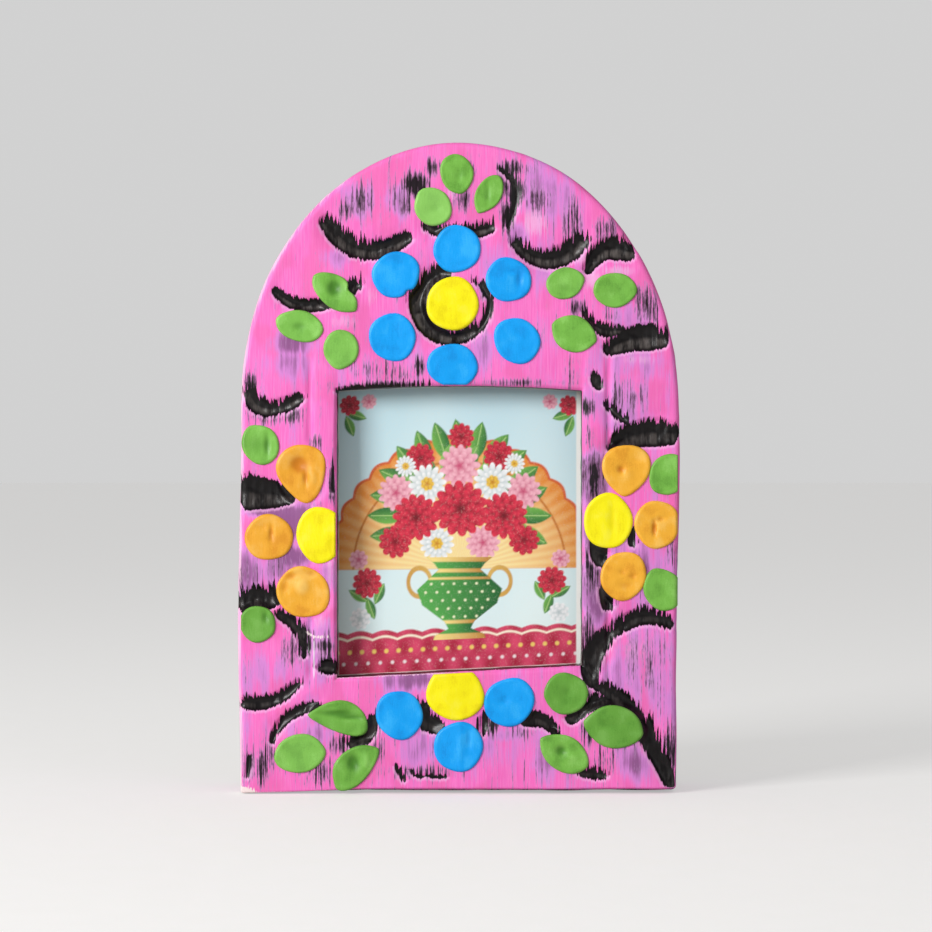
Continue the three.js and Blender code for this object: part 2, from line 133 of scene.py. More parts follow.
def under_dabs(x, z):
    """1 where a dab lies, falling to 0 a little outside it: an ellipse test for every dab, the highest kept."""
    cover = np.zeros_like(x)
    for dab in DABS:
        along, across = turned(x - dab.x, z - dab.z, dab.tilt)
        off = np.hypot(along / (dab.length / 2), across / (dab.width / 2))
        cover = np.maximum(cover, 1 - ease(off, 0.95, 1.22))
    return cover


print(len(DABS), "dabs of paint")

# %% [markdown]
# ## The carving
# A round gouge is pushed along a bent path and leaves a trough with soft shoulders, so the wood
# between the marks looks like small pillows. The troughs could be cut with Boolean tools, but
# those leave hard rims. Here the relief is one function of x and z: how deep the surface lies
# below the flat front. It also gives the distance to the nearest mark, which later decides where
# the black coat shows.

# %% Paths of the gouge marks
PATH_STEPS = 40


def bent_path(start, by, end):
    """A smooth bend from start to end that passes by the middle point: a quadratic curve."""
    start, by, end = (np.array(p, float) for p in (start, by, end))
    t = np.linspace(0, 1, PATH_STEPS)[:, None]
    return (1 - t) ** 2 * start + 2 * t * (1 - t) * (2 * by - (start + end) / 2) + t ** 2 * end


def round_path(middle, radius, first, last):
    """Part of a circle about middle, from the first to the last angle in degrees."""
    angle = np.radians(np.linspace(first, last, PATH_STEPS))
    return np.array(middle) + radius * np.stack([np.cos(angle), np.sin(angle)], -1)


BENT_CUTS = [  # x and z of the start, of a point passed by and of the end; width at both ends, depth
    (-15.4, 66.5, -11.2, 63.4, -6.2, 64.8, 2.6, 2.1, 0.9),
    (-21.3, 58.5, -17.2, 56.9, -12.0, 59.3, 1.5, 1.8, 0.7), (-3.7, 66.2, -0.4, 65.4, 3.5, 66.0, 1.7, 2.0, 0.7),
    (4.9, 72.8, 6.6, 70.2, 5.6, 66.2, 1.0, 0.7, 0.35), (6.6, 64.2, 10.4, 62.3, 14.2, 64.4, 2.0, 2.7, 0.9),
    (15.0, 61.1, 16.9, 63.3, 19.5, 63.2, 1.6, 3.2, 0.9), (14.6, 56.2, 16.1, 54.4, 18.4, 54.0, 1.0, 2.0, 0.6),
    (17.6, 51.9, 20.2, 53.0, 23.2, 53.1, 2.4, 3.6, 0.9), (2.2, 59.6, 3.0, 58.7, 3.5, 57.6, 1.1, 0.8, 0.45),
    (-14.2, 47.0, -10.0, 47.45, -3.6, 47.65, 0.9, 0.5, 0.3),
    (15.8, 48.7, 16.0, 48.1, 16.2, 47.5, 1.4, 1.4, 0.4), (-24.6, 46.8, -22.5, 44.9, -18.7, 46.1, 2.2, 1.8, 0.8),
    (-26.4, 35.2, -22.9, 35.0, -20.0, 34.6, 4.9, 2.6, 0.9),
    (-14.8, 37.8, -14.8, 36.5, -14.8, 35.2, 0.5, 0.5, 0.3),
    (-26.2, 22.6, -23.8, 22.7, -21.0, 23.1, 3.5, 2.6, 0.9),
    (-20.8, 20.9, -18.6, 19.0, -18.1, 16.2, 1.8, 1.3, 0.6),
    (-16.1, 14.7, -15.4, 14.8, -14.4, 14.6, 1.6, 1.8, 0.8), (17.1, 45.4, 18.3, 44.4, 19.3, 43.5, 0.9, 1.2, 0.5),
    (18.1, 40.2, 20.4, 41.8, 24.6, 42.0, 2.4, 3.8, 0.9), (20.1, 30.8, 20.0, 30.0, 20.1, 29.1, 1.1, 1.1, 0.4),
    (16.4, 30.4, 16.2, 28.7, 16.4, 27.1, 2.4, 2.0, 0.6), (16.8, 24.2, 17.1, 23.2, 17.3, 22.0, 1.7, 2.0, 0.5),
    (17.7, 18.7, 21.2, 20.6, 24.4, 19.9, 2.0, 2.0, 0.8), (17.4, 18.6, 15.6, 16.2, 15.5, 13.2, 2.6, 2.5, 0.8),
    (-25.6, 10.8, -22.0, 10.8, -18.8, 12.9, 2.0, 1.3, 0.7),
    (-21.8, 6.2, -20.0, 8.9, -16.6, 10.3, 1.0, 1.5, 0.6), (-10.0, 8.8, -10.7, 7.2, -12.3, 6.0, 1.7, 2.5, 0.6),
    (-4.2, 10.2, -4.0, 8.7, -2.5, 7.8, 2.3, 2.2, 0.5), (3.0, 9.0, 2.8, 8.1, 2.6, 7.2, 1.3, 1.0, 0.5),
    (7.8, 8.6, 9.8, 8.5, 11.2, 7.0, 2.2, 1.4, 0.6), (16.2, 12.6, 19.9, 9.8, 22.7, 5.2, 1.8, 3.0, 0.8),
    (22.4, 5.7, 23.8, 3.2, 24.7, 1.0, 2.3, 1.9, 0.8), (13.1, 8.9, 14.9, 10.4, 17.4, 10.9, 2.3, 1.8, 0.6),
    (14.2, 2.5, 15.4, 2.4, 16.8, 2.2, 1.5, 1.5, 0.5), (-24.5, 4.4, -24.6, 3.2, -24.8, 2.0, 0.7, 0.6, 0.3),
    (-7.3, 3.3, -6.9, 2.4, -6.5, 1.6, 0.8, 0.7, 0.3), (-5.6, 2.8, -5.1, 2.2, -4.2, 2.0, 0.7, 0.5, 0.25),
    (-3.8, 2.2, -2.9, 2.0, -1.6, 2.0, 0.5, 0.5, 0.2),
]
ROUND_CUTS = [  # middle x and z, radius, first and last angle; width at both ends, depth
    (-0.8, 57.1, 3.85, 105, 302, 2.6, 2.2, 0.8), (-0.8, 57.2, 4.3, 292, 368, 1.0, 0.7, 0.45),
]
MARKS = [(bent_path(cut[0:2], cut[2:4], cut[4:6]), *cut[6:]) for cut in BENT_CUTS]
MARKS += [(round_path(cut[0:2], *cut[2:5]), *cut[5:]) for cut in ROUND_CUTS]
print(len(MARKS), "gouge marks")

# %% Depth of the marks
SHOULDER, SHOULDER_WIDE = 0.22, 0.8  # share of the depth at a mark's rim, and how far it spreads in mm
SEARCH, OUTSIDE = 4.0, -3.0          # mm round a mark where it is felt, and the distance beyond
NARROW, SHALLOW = 0.25, 0.3          # shares of width and depth that a mark loses at its ends


def carving(x, z):
    """How far each point is inside the nearest mark, in mm (negative outside), how deep it is cut, and from 0 to 1
    how much it lies on the mark's upper side.

    Across a mark the cut is half an ellipse, with shoulders that fall off as a bell curve;
    along it, width and depth shrink toward both ends."""
    inside, deep, upper = np.full(x.shape, OUTSIDE), np.zeros(x.shape), np.zeros(x.shape)
    for path, wide_start, wide_end, depth in MARKS:
        (low_x, low_z), (high_x, high_z) = path.min(0) - SEARCH, path.max(0) + SEARCH
        near = (x > low_x) & (x < high_x) & (z > low_z) & (z < high_z)
        if not near.any():
            continue
        gaps = np.hypot(x[near][:, None] - path[:, 0], z[near][:, None] - path[:, 1])
        spot = gaps.argmin(1)
        gap, along = gaps.min(1), spot / (PATH_STEPS - 1)
        end = np.abs(2 * along - 1)
        half = (wide_start + (wide_end - wide_start) * along) / 2 * (1 - NARROW * end ** 4)
        trough = (1 - SHOULDER) * np.sqrt(np.clip(1 - (gap / half) ** 2, 0, 1)) + SHOULDER
        shoulder = SHOULDER * np.exp(-(np.clip(gap - half, 0, None) / SHOULDER_WIDE) ** 2)
        cut = depth * (1 - SHALLOW * end ** 3) * np.where(gap < half, trough, shoulder)
        on_upper = ease(z[near] - path[spot, 1], -0.4 * half, 0.5 * half)
        upper[near] = np.where(half - gap > inside[near], on_upper, upper[near])
        inside[near] = np.maximum(inside[near], half - gap)
        deep[near] = np.maximum(deep[near], cut)
    return inside, deep, upper


print("deepest mark", max(depth for *_, depth in MARKS), "mm")

# %% Beads, dents and the whole relief
BEAD_X, BEAD_HALF, BEAD_HIGH = 15.75, 1.35, 0.2
CHANNEL_OFF, CHANNEL_HALF, CHANNEL_DEEP = 1.65, 0.4, 0.22
WAVES, CREST = 6, 3.4  # how many waves a ripple adds, and about how high they add up
DENTS = [  # x, z, radius across, radius up, depth: hollows (or, below 0, folds) that show in the paint
    (-18.7, 38.4, 1.0, 1.0, 0.42), (-17.9, 36.8, 0.35, 0.9, 0.25), (-17.1, 36.8, 0.5, 1.2, -0.12),
    (-21.9, 30.4, 0.28, 0.9, 0.24), (-22.9, 31.2, 0.7, 0.5, 0.12), (-18.4, 24.2, 0.9, 1.0, -0.24),
    (-19.6, 25.4, 0.9, 0.5, 0.22), (-20.4, 24.2, 0.6, 0.9, 0.18), (-17.3, 25.7, 0.8, 0.5, 0.18),
    (18.8, 37.8, 0.45, 0.5, 0.30), (19.6, 37.3, 0.5, 0.6, -0.10), (20.6, 39.0, 0.8, 0.5, 0.10),
    (22.7, 31.0, 0.28, 0.9, 0.34), (23.4, 32.0, 0.5, 0.3, 0.20), (19.4, 24.3, 0.9, 0.5, 0.16),
    (20.2, 25.4, 0.4, 0.4, 0.16), (18.9, 25.9, 0.5, 0.4, 0.14), (17.8, 31.9, 0.5, 2.0, 0.15),
    (-23.6, 40.7, 1.4, 1.5, 0.16), (-22.4, 40.6, 0.3, 1.3, 0.18), (-22.6, 20.6, 0.4, 0.8, 0.24),
    (-14.6, 58.9, 0.9, 1.0, 0.38), (-13.4, 57.9, 0.9, 0.6, -0.06), (-18.7, 54.5, 0.9, 0.6, 0.20),
    (0.1, 5.6, 0.35, 2.4, -0.10), (1.1, 6.4, 0.3, 1.2, 0.16), (5.3, 10.9, 0.5, 0.5, 0.12),
    (-14.2, 9.4, 2.2, 0.4, 0.28), (-12.5, 8.9, 1.6, 0.3, 0.22), (-15.4, 10.2, 1.2, 0.3, 0.12),
    (-12.4, 3.6, 0.8, 1.1, 0.36), (-10.9, 4.0, 0.5, 1.0, -0.14), (11.8, 5.0, 0.7, 0.7, 0.32),
    (12.9, 4.3, 1.0, 0.4, -0.10), (12.4, 58.9, 1.2, 0.8, 0.14), (18.1, 58.6, 1.4, 0.9, 0.12),
    (-0.1, 72.0, 0.5, 0.9, 0.14), (3.3, 70.0, 0.3, 1.1, 0.14), (-2.9, 68.2, 0.8, 0.8, 0.12),
    (7.0, 59.9, 0.35, 0.9, 0.18), (6.2, 60.9, 0.8, 0.3, 0.13), (-7.3, 61.2, 0.7, 0.5, 0.08),
    (12.5, 11.9, 0.8, 0.8, 0.14), (17.6, 8.0, 1.6, 0.5, 0.12), (23.4, 23.6, 0.9, 0.9, 0.12),
]


def ripple(x, z, size, seed):
    """Gentle uneven swell between about -1 and 1: a sum of sines of about one size in seeded directions."""
    rng = np.random.default_rng(seed)
    turns, starts, lengths = (rng.uniform(low, high, WAVES) for low, high in ((0, np.pi), (0, 6.3), (0.7, 1.4)))
    total = 0
    for turn, start, length in zip(turns, starts, lengths):
        total = total + np.sin((x * np.cos(turn) + z * np.sin(turn)) * 2 * np.pi / (size * length) + start)
    return total / CREST


def bell(x, z, at_x, at_z, wide, tall):
    """1 at a point and falling to 0 round it: e to the power -(dx / wide)^2 - (dz / tall)^2."""
    return np.exp(-((x - at_x) / wide) ** 2 - ((z - at_z) / tall) ** 2)


def beads(x, z):
    """The rounded bead on each side of the window: half an ellipse across x that fades at its ends, with a
    channel outside it."""
    off = np.abs(x) - BEAD_X
    bead = -BEAD_HIGH * np.sqrt(np.clip(1 - (off / BEAD_HALF) ** 2, 0, 1))
    channel = CHANNEL_DEEP * np.exp(-((off - CHANNEL_OFF) / CHANNEL_HALF) ** 2)
    return (bead + channel) * ease(z, 11.5, 15) * (1 - ease(z, 48, 53))


def dents(x, z):
    """Depth of all the hollows at a point, in mm: a bell curve for each."""
    return sum(depth * bell(x, z, *spot) for *spot, depth in DENTS)


def relief(x, z):
    """Depth of the carved front below its flat plane, in mm: marks, beads, dents and the knife's unevenness.
    Where a dab lies, the marks and beads are left out."""
    inside, deep, upper = carving(x, z)
    uneven = 0.14 + 0.10 * ripple(x, z, 9, 3) + 0.025 * ripple(x, z, 3.2, 5)
    chatter = 0.05 * ripple(x, z, 1.1, 8) * ease(inside, 0.1, 0.6)
    carved = (1 - under_dabs(x, z)) * (deep + chatter + beads(x, z))
    return uneven + carved + dents(x, z), inside, upper


print(len(DENTS), "dents and folds")

# %% [markdown]
# ## The carved arch
# The wooden arch could be cut from a block with a Boolean, which leaves a ragged mesh. But it is a
# ring, like a thick picture frame, so one grid can wrap all of it, closed and even: columns
# go round the arch, and rows go from the window's edge over the front, round the outer edge, down
# the side, across the back and up the window's wall to where they began. Rays from the window's
# middle join each point of the outline to its point of the window. The fine rows of the front
# then sink by the relief, so the gouge marks are real troughs that catch the light.

# %% Outline and window, hand-cut and not quite straight
COLUMNS, FRONT_ROWS, FINE_STEPS = 720, 92, 20001
EDGE_ROUND, BASE_ROUND, WINDOW_ROUND = 0.65, 0.25, 0.3  # radii of the worn edges
WANDER = 0.06                                           # how far the saw wandered from the line
TINY = 1e-9                                             # keeps a division from dividing by nothing


def arch_point(angle):
    """Where a ray from the window's middle leaves the arch: at a straight side, the base or the half ellipse,
    which it meets at the larger root d of a d^2 + b d + k = 0."""
    c, s = np.cos(angle), np.sin(angle)
    rise, drop = TOP - SIDE_HEIGHT, MIDDLE_Z - SIDE_HEIGHT
    to_side = HALF / np.maximum(np.abs(c), TINY)
    to_base = np.where(s < 0, MIDDLE_Z / np.maximum(-s, TINY), np.inf)
    a, b, k = (c / HALF) ** 2 + (s / rise) ** 2, 2 * s * drop / rise ** 2, (drop / rise) ** 2 - 1
    to_curve = (-b + np.sqrt(b * b - 4 * a * k)) / (2 * a)
    flat = np.minimum(to_side, to_base)
    reach = np.where(MIDDLE_Z + s * flat > SIDE_HEIGHT, to_curve, flat)
    return np.stack([reach * c, MIDDLE_Z + reach * s], -1)


def window_point(angle):
    """Where the ray crosses the window's rectangle: at the nearer of its upright and its level lines."""
    c, s = np.cos(angle), np.sin(angle)
    to_side = WINDOW_X / np.maximum(np.abs(c), TINY)
    reach = np.minimum(to_side, (WINDOW_HIGH - MIDDLE_Z) / np.maximum(np.abs(s), TINY))
    return np.stack([reach * c, MIDDLE_Z + reach * s], -1)


def side_bow(x, z):
    """How far the sawn sides stand out past a straight line, as bell curves: the left low, the right half-way up."""
    left = 0.45 * np.exp(-((z - 19) / 14) ** 2)
    right = 0.3 * np.exp(-((z - 38) / 9) ** 2) - 0.15 * (1 - ease(z, 10, 28))
    return np.where(x < 0, left, right)


def unit(vectors):
    """The vectors in rows, each made 1 long."""
    return vectors / np.linalg.norm(vectors, axis=1, keepdims=True)


fine = np.linspace(-np.pi, np.pi, FINE_STEPS)
walk = np.concatenate([[0], np.cumsum(np.linalg.norm(np.diff(arch_point(fine), axis=0), axis=1))])
angles = np.interp(np.arange(COLUMNS) * walk[-1] / COLUMNS, walk, fine)  # equal steps along the outline
sharp = arch_point(angles)
outline = sum(np.roll(sharp, k, axis=0) for k in (-1, 0, 1)) / 3
tangent = unit(np.roll(outline, -1, axis=0) - np.roll(outline, 1, axis=0))
outward = np.stack([tangent[:, 1], -tangent[:, 0]], -1)
outline = outline - outward * (WANDER + WANDER * ripple(outline[:, 0], outline[:, 1], 14, 11))[:, None]
outline[:, 0] += side_bow(outline[:, 0], outline[:, 1]) * outline[:, 0] / HALF
edge_round = BASE_ROUND + (EDGE_ROUND - BASE_ROUND) * ease(outline[:, 1:], 0.3, 5)
opening = window_point(angles)
ray = unit(outline - opening)
inset = ray / np.sum(ray * outward, axis=1, keepdims=True)  # one mm in from the outline, along the ray
print(f"outline {walk[-1]:.1f} mm round")

# %% How the window and the base were cut by hand
HEAD_RISE, HEAD_FALL = 0.35, 0.55  # mm that the top is bowed up in its middle, and mm less at a corner
SILL_CLIMB, BASE_WEAR = 0.05, 0.5  # mm of climb to each mm, and mm worn off the base


def head_bow(x):
    """How far the window's top is bowed up at x, in mm: a parabola, below zero at the corners."""
    return HEAD_RISE - HEAD_FALL * (x / WINDOW_X) ** 2


def hand_cut(points):
    """Lifts the window's edge as the saw left it: a bowed top and a base that climbs to the right."""
    x, z = points[..., 0], points[..., 1]
    top = ease(z, MIDDLE_Z, WINDOW_HIGH) * head_bow(x)
    base = ease(-z, -MIDDLE_Z, -WINDOW_LOW) * SILL_CLIMB * x
    return points + np.stack([0 * x, top + base], -1)


def worn_base(points, share=1.0):
    """Lifts the front's lower edge, which is worn away from the left corner to the right."""
    x, z = points[..., 0], points[..., 1]
    lift = BASE_WEAR * ease(x, -26, -8) * (1 - ease(z, 0.5, 7))
    return points + share * np.stack([0 * x, lift], -1)


print(f"window's top bowed from {head_bow(0):.2f} to {head_bow(WINDOW_X):.2f} mm")

# %% Rows of the ring, from the window's edge round to the window's edge
EDGE_BENDS = np.radians([18, 36, 54, 72, 90])
BACK_INSET, SWAY = 0.3, 0.05  # how far the back is set in, and how unevenly the walls are sawn
SIDE_PINK, BACK_BLACK, WALL_BLACK = -1.6, 1.0, 1.4  # how far inside a mark they count as, in mm: high is black
EDGE_PINK, WALL_PINK = 0.9, 1.6                     # what is taken off at the outer edge and the window's edge
rows = []


def add_rows(flat, y, inside, edge=0.0, wall=0.0):
    """Adds rows of x and z at depth y, with how far they lie inside a mark, on the outer edge and down the wall."""
    flat = flat.reshape(-1, COLUMNS, 2)
    y, *facts = (np.broadcast_to(value, flat.shape[:2]) for value in (y, inside, edge, wall))
    rows.append(np.dstack([flat[..., 0], y, flat[..., 1], *facts]))


front_edge, window_edge = worn_base(outline - inset * edge_round), hand_cut(opening)
front = window_edge + (front_edge - window_edge) * np.linspace(0, 1, FRONT_ROWS)[:, None, None]
from_window = np.linalg.norm(front - window_edge, axis=-1)
front_deep, front_inside, front_upper = relief(front[..., 0], front[..., 1])
lip = WINDOW_ROUND * (1 - ease(from_window, 0, 0.6)) ** 2
add_rows(front, FACE + front_deep + lip, front_inside)
edge_deep, round_deep = front_deep[-1], edge_round[:, 0]
for bend in EDGE_BENDS:
    around = worn_base(outline - inset * edge_round * (1 - np.sin(bend)))
    y = FACE + round_deep * (1 - np.cos(bend)) + edge_deep
    add_rows(around, y, front_inside[-1] - EDGE_PINK * np.sin(bend), edge=np.sin(bend))
side_start = FACE + round_deep + edge_deep
for step in np.linspace(0.08, 1, 11):
    side = worn_base(outline, (1 - step) ** 2) - inset * BACK_INSET * ease(step, 0.93, 1)
    side = side - inset * (SWAY * ripple(outline[:, 0] + 7 * step, outline[:, 1], 5, 17))[:, None]
    add_rows(side, side_start + (SEAM - side_start) * step, SIDE_PINK, edge=1 - ease(step, 0, 0.2), wall=step)
for step in (0.25, 0.5, 0.75, 1.0):
    back = outline - inset * BACK_INSET + (window_edge - outline + inset * BACK_INSET) * step
    add_rows(back, SEAM, BACK_BLACK, wall=1.0)
wall_end = FACE + front_deep[0] + WINDOW_ROUND
for step in np.linspace(0.1, 1, 10)[:-1]:
    sway = SWAY * ripple(window_edge[:, 0], window_edge[:, 1] + 5 * step, 3, 23)
    y = SEAM + (wall_end - SEAM) * step
    add_rows(window_edge + outward * sway[:, None], y, WALL_BLACK - WALL_PINK * step ** 3)
ring = np.concatenate(rows)
print("arch grid", ring.shape[:2])

# %% [markdown]
# ## Where the pink paint stays away
# The pink is dragged on with a nearly dry flat brush, up and down. It misses the troughs, breaks
# into black streaks where the brush ran dry, and turns thin and violet where the black shines
# through. Light and shade are painted in as well: violet shade toward the right and round hollows,
# pale shine on pillows and highlights on edges that face the light, and a grey sheen in the marks.
# These broad facts are numbers on the grid points; the streaks themselves are made in the
# material, where they can be finer than the grid.

# %% Spots where the brush was dry or thin, with painted shade and painted shine
DRY_SPOTS = [  # x, z, radius across, radius up, how dry
    (-11.3, 69.4, 1.4, 2.4, 0.64), (-7.6, 69.6, 1.1, 2.0, 0.56), (-5.1, 70.9, 1.6, 1.5, 1.15),
    (-6.1, 68.7, 0.8, 1.5, 0.75), (-3.0, 73.0, 1.0, 1.1, 0.8), (0.4, 69.3, 0.9, 1.6, 0.8),
    (1.7, 72.6, 0.4, 1.0, 0.6), (6.0, 72.8, 1.8, 1.1, 0.95), (6.5, 70.4, 1.2, 1.9, 1.05),
    (5.5, 67.4, 0.8, 2.2, 0.9), (4.8, 70.8, 0.8, 1.5, 0.95), (9.0, 69.0, 1.5, 1.9, 0.58),
    (13.2, 66.8, 1.2, 2.5, 0.58), (17.0, 65.8, 1.5, 1.6, 0.55), (21.9, 56.8, 1.4, 2.4, 0.76),
    (13.7, 56.6, 1.3, 1.0, 0.7), (17.7, 55.9, 1.0, 1.4, 0.6), (3.2, 58.6, 0.8, 1.3, 0.7),
    (-9.2, 49.1, 5.0, 1.8, 0.5), (-4.7, 49.9, 0.9, 1.2, 0.8), (-9.0, 47.5, 5.4, 0.8, 0.85),
    (6.5, 47.9, 6.0, 0.5, 0.6), (13.2, 48.9, 1.0, 1.8, 0.4), (19.9, 46.3, 2.8, 2.3, 0.45),
    (14.8, 45.0, 0.9, 1.0, 0.75), (15.7, 37.0, 1.8, 3.0, 0.85), (15.2, 41.5, 0.8, 1.8, 0.55),
    (15.5, 26.4, 1.6, 4.2, 0.78), (15.0, 19.0, 1.0, 3.5, 0.75), (15.7, 12.4, 1.6, 2.2, 0.45),
    (17.2, 4.6, 1.2, 2.9, 0.5), (14.9, 7.4, 1.1, 1.5, 0.65), (21.5, 15.0, 3.4, 5.4, 0.32),
    (24.6, 4.5, 0.9, 4.0, 0.75), (-4.4, 2.5, 3.6, 0.9, 0.66), (-16.3, 2.8, 2.0, 1.8, 0.65),
    (-22.9, 4.0, 1.3, 2.6, 0.95), (-24.4, 3.6, 1.1, 1.9, 0.75), (-21.2, 44.1, 3.2, 1.2, 0.7),
    (-24.4, 47.8, 0.7, 1.3, 0.85), (-16.7, 41.0, 1.0, 1.0, 0.7), (-14.85, 36.3, 0.4, 2.9, 1.05),
    (-15.6, 16.8, 1.6, 2.4, 0.4), (-15.8, 17.3, 1.1, 0.8, 0.8), (-17.8, 17.4, 0.7, 1.6, 0.7),
    (-9.7, 7.4, 0.5, 2.0, 0.85), (-13.7, 5.7, 1.5, 1.2, 0.75), (3.8, 8.0, 0.8, 1.1, 0.9),
    (-9.6, 5.4, 0.8, 1.5, 0.7), (-25.0, 25.5, 1.2, 2.4, 0.5), (-13.2, 68.1, 1.2, 1.3, 0.6),
    (-24.0, 34.6, 1.8, 1.4, 0.6), (-22.0, 26.2, 3.6, 1.7, 0.3), (7.3, 7.2, 1.7, 1.1, 0.6),
    (-19.4, 16.6, 1.2, 2.2, 0.65), (24.8, 28.0, 1.0, 3.0, 0.45),
]
THIN_AND_SHADED_SPOTS = [  # x, z, radius across, radius up, how thin: thin violet paint and painted violet shade in hollows
    (-14.3, 62.6, 1.8, 1.4, 0.9), (-19.7, 50.3, 2.6, 2.1, 1.1), (4.3, 60.5, 1.5, 4.5, 0.6),
    (6.6, 65.4, 1.5, 1.5, 0.8), (9.5, 70.5, 4.0, 3.5, 0.7), (20.5, 50.5, 4.0, 3.0, 0.65),
    (-21.5, 27.2, 4.0, 3.2, 1.0), (-4.7, 5.0, 3.2, 2.6, 0.6), (6.5, 6.0, 4.0, 3.2, 0.6),
    (20.5, 13.0, 4.5, 6.5, 0.65), (-5.5, 13.3, 5.0, 1.3, 1.2), (21.5, 28.0, 4.0, 5.5, 0.7),
    (-15.7, 17.5, 2.0, 4.0, 0.7), (9.0, 61.0, 3.0, 3.0, 0.6), (19.4, 56.2, 3.4, 2.0, 0.4),
    (-18.5, 8.5, 4.0, 2.6, 0.5), (19.5, 46.0, 3.5, 3.5, 0.6), (-12.0, 49.5, 3.0, 2.0, 0.4),
    (-19.7, 31.9, 2.5, 2.4, 2.4), (-21.9, 33.2, 3.0, 1.0, 2.0), (-19.8, 27.8, 2.4, 1.5, 1.6),
    (-19.5, 52.4, 2.6, 1.6, 1.6), (-25.2, 26.0, 2.0, 3.0, 1.5), (-22.5, 13.7, 4.5, 2.2, 0.6),
    (10.3, 4.0, 2.2, 2.0, 0.8), (-16.5, 7.0, 2.2, 1.6, 0.9), (-15.4, 25.4, 1.0, 2.5, 0.8),
    (-4.6, 50.6, 2.0, 2.4, 0.5), (2.6, 51.8, 1.8, 2.4, 0.7), (15.9, 23.6, 1.5, 3.6, 1.9),
    (15.8, 37.0, 1.7, 3.0, 2.0), (-11.3, 69.2, 1.5, 2.5, 1.2), (-7.2, 69.2, 1.7, 2.4, 1.0),
    (15.4, 30.5, 1.0, 2.4, 1.3), (20.5, 3.5, 2.6, 1.8, 0.8), (5.4, 6.8, 2.0, 1.0, 1.0),
]
SHINE_SPOTS = [  # x, z, radius across, radius up, how pale: painted shine on pillows that face the light
    (8.8, 66.7, 1.5, 2.0, 1.0), (15.4, 60.0, 1.4, 1.4, 0.9), (18.6, 60.9, 2.0, 0.7, 0.9),
    (14.4, 62.6, 0.7, 1.1, 0.9), (-16.0, 16.9, 1.1, 1.3, 0.8), (-16.2, 20.0, 1.0, 1.2, 0.6),
    (-0.9, 70.3, 0.8, 1.6, 0.8), (-13.6, 55.0, 2.0, 1.0, 0.6), (-10.2, 57.9, 1.0, 1.6, 0.6),
    (-15.0, 26.0, 0.7, 3.0, 0.7), (20.4, 16.6, 2.2, 1.8, 0.6), (21.0, 50.6, 2.4, 0.8, 0.6),
]
CHIPS = [(-25.4, 0, 2.0, 1.0), (-25.7, 1.3, 0.4, 1.6)]      # x, z, radius across, radius up: the broken corner
EDGE_HIGHLIGHT_LINES = [(-16.95, 13.6, 18.2), (14.15, 10.4, 14.0)]  # x, from z, to z: painted highlight lines on the lit steps beside the window


def spots(table, x, z):
    """Soft oval spots: strength x (1 - a smooth S of distance over radius); where two meet, the stronger wins."""
    return np.max([s * (1 - ease(np.hypot((x - a) / r, (z - b) / h), 0, 1.8)) for a, b, r, h, s in table], axis=0)


print(len(DRY_SPOTS), "dry,", len(THIN_AND_SHADED_SPOTS), "thin and", len(SHINE_SPOTS), "chalky spots")

# %% Paint facts on the arch
ring_x, ring_y, ring_z, inside_mark, outer_edge, side_share = np.moveaxis(ring, -1, 0)
upper_side = np.ones(ring_x.shape)
upper_side[:FRONT_ROWS] = front_upper
upper_side[FRONT_ROWS:FRONT_ROWS + len(EDGE_BENDS)] = front_upper[-1]
dry = np.where(side_share > 0, 0.3 + 0.3 * side_share, spots(DRY_SPOTS, ring_x, ring_z))
# Violet: thin paint, plus painted shade that grows toward the right and lies in the listed spots.
thin_and_shaded = 0.12 * ease(ring_x, 4, 16) + spots(THIN_AND_SHADED_SPOTS, ring_x, ring_z)
# Pale edge: wear all round the outer edge, plus a painted highlight that grows toward the left, where the light falls,
# and a painted highlight on the left half of the window's sill.
wear_and_edge_highlight = outer_edge * (0.8 + 0.2 * ripple(ring_x, ring_z, 9, 31)) * (0.45 + 0.9 * ease(-ring_x, 8, 22))
sill_highlight = (1 - ease(from_window, 0.05, 0.3)) * (front[..., 1] < WINDOW_LOW + 0.1)
wear_and_edge_highlight[:FRONT_ROWS] += 0.85 * sill_highlight * (1 - ease(front[..., 0], -3, 3))
chip = np.max([bell(ring_x, ring_z, *spot) for spot in CHIPS], axis=0) * (ring_y < FACE + 2.5)
scuff_z = 18.3 + 0.6 * np.clip(-17 - ring_x, 0, 2)
scuff = 0.52 * np.exp(-((ring_x + 16.6) / 1.9) ** 4 - ((ring_z - scuff_z) / 0.42) ** 2)
run_back = np.where(np.arange(len(ring))[:, None] < FRONT_ROWS, 0, ring_y - FACE)
brush_across = ring_x + outward[:, 0] * run_back  # x on the front, and on from there round the edge
# pale holds a painted shine on the pillows that face the light
paint_facts = {"inside_mark": inside_mark, "upper_side": upper_side, "dry": dry, "thin_and_shaded": thin_and_shaded, "wear_and_edge_highlight": wear_and_edge_highlight,
               "chip": np.maximum(chip, scuff), "brush_across": brush_across * MM,
               "pale": spots(SHINE_SPOTS, ring_x, ring_z)}
print("dry share of the arch", round(float(dry.mean()), 3))

# %% [markdown]
# ## Node materials
# A material is a small network: noise patterns in object coordinates, so they have a real size,
# are mixed into colour, roughness and bump. Painted images could give the same look, but they
# blur close up, and noise stays sharp. One class holds the network; each method adds a node.

# %% Material helpers
def linear(code):
    """A web colour such as #ff80c0 as the linear numbers that a shader works with: a dark value s becomes
    s / 12.92, any other ((s + 0.055) / 1.055)^2.4."""
    srgb = np.array([int(code[k:k + 2], 16) for k in (1, 3, 5)]) / 255
    low, high = srgb / 12.92, ((srgb + 0.055) / 1.055) ** 2.4
    return (*np.where(srgb <= 0.04045, low, high).tolist(), 1.0)


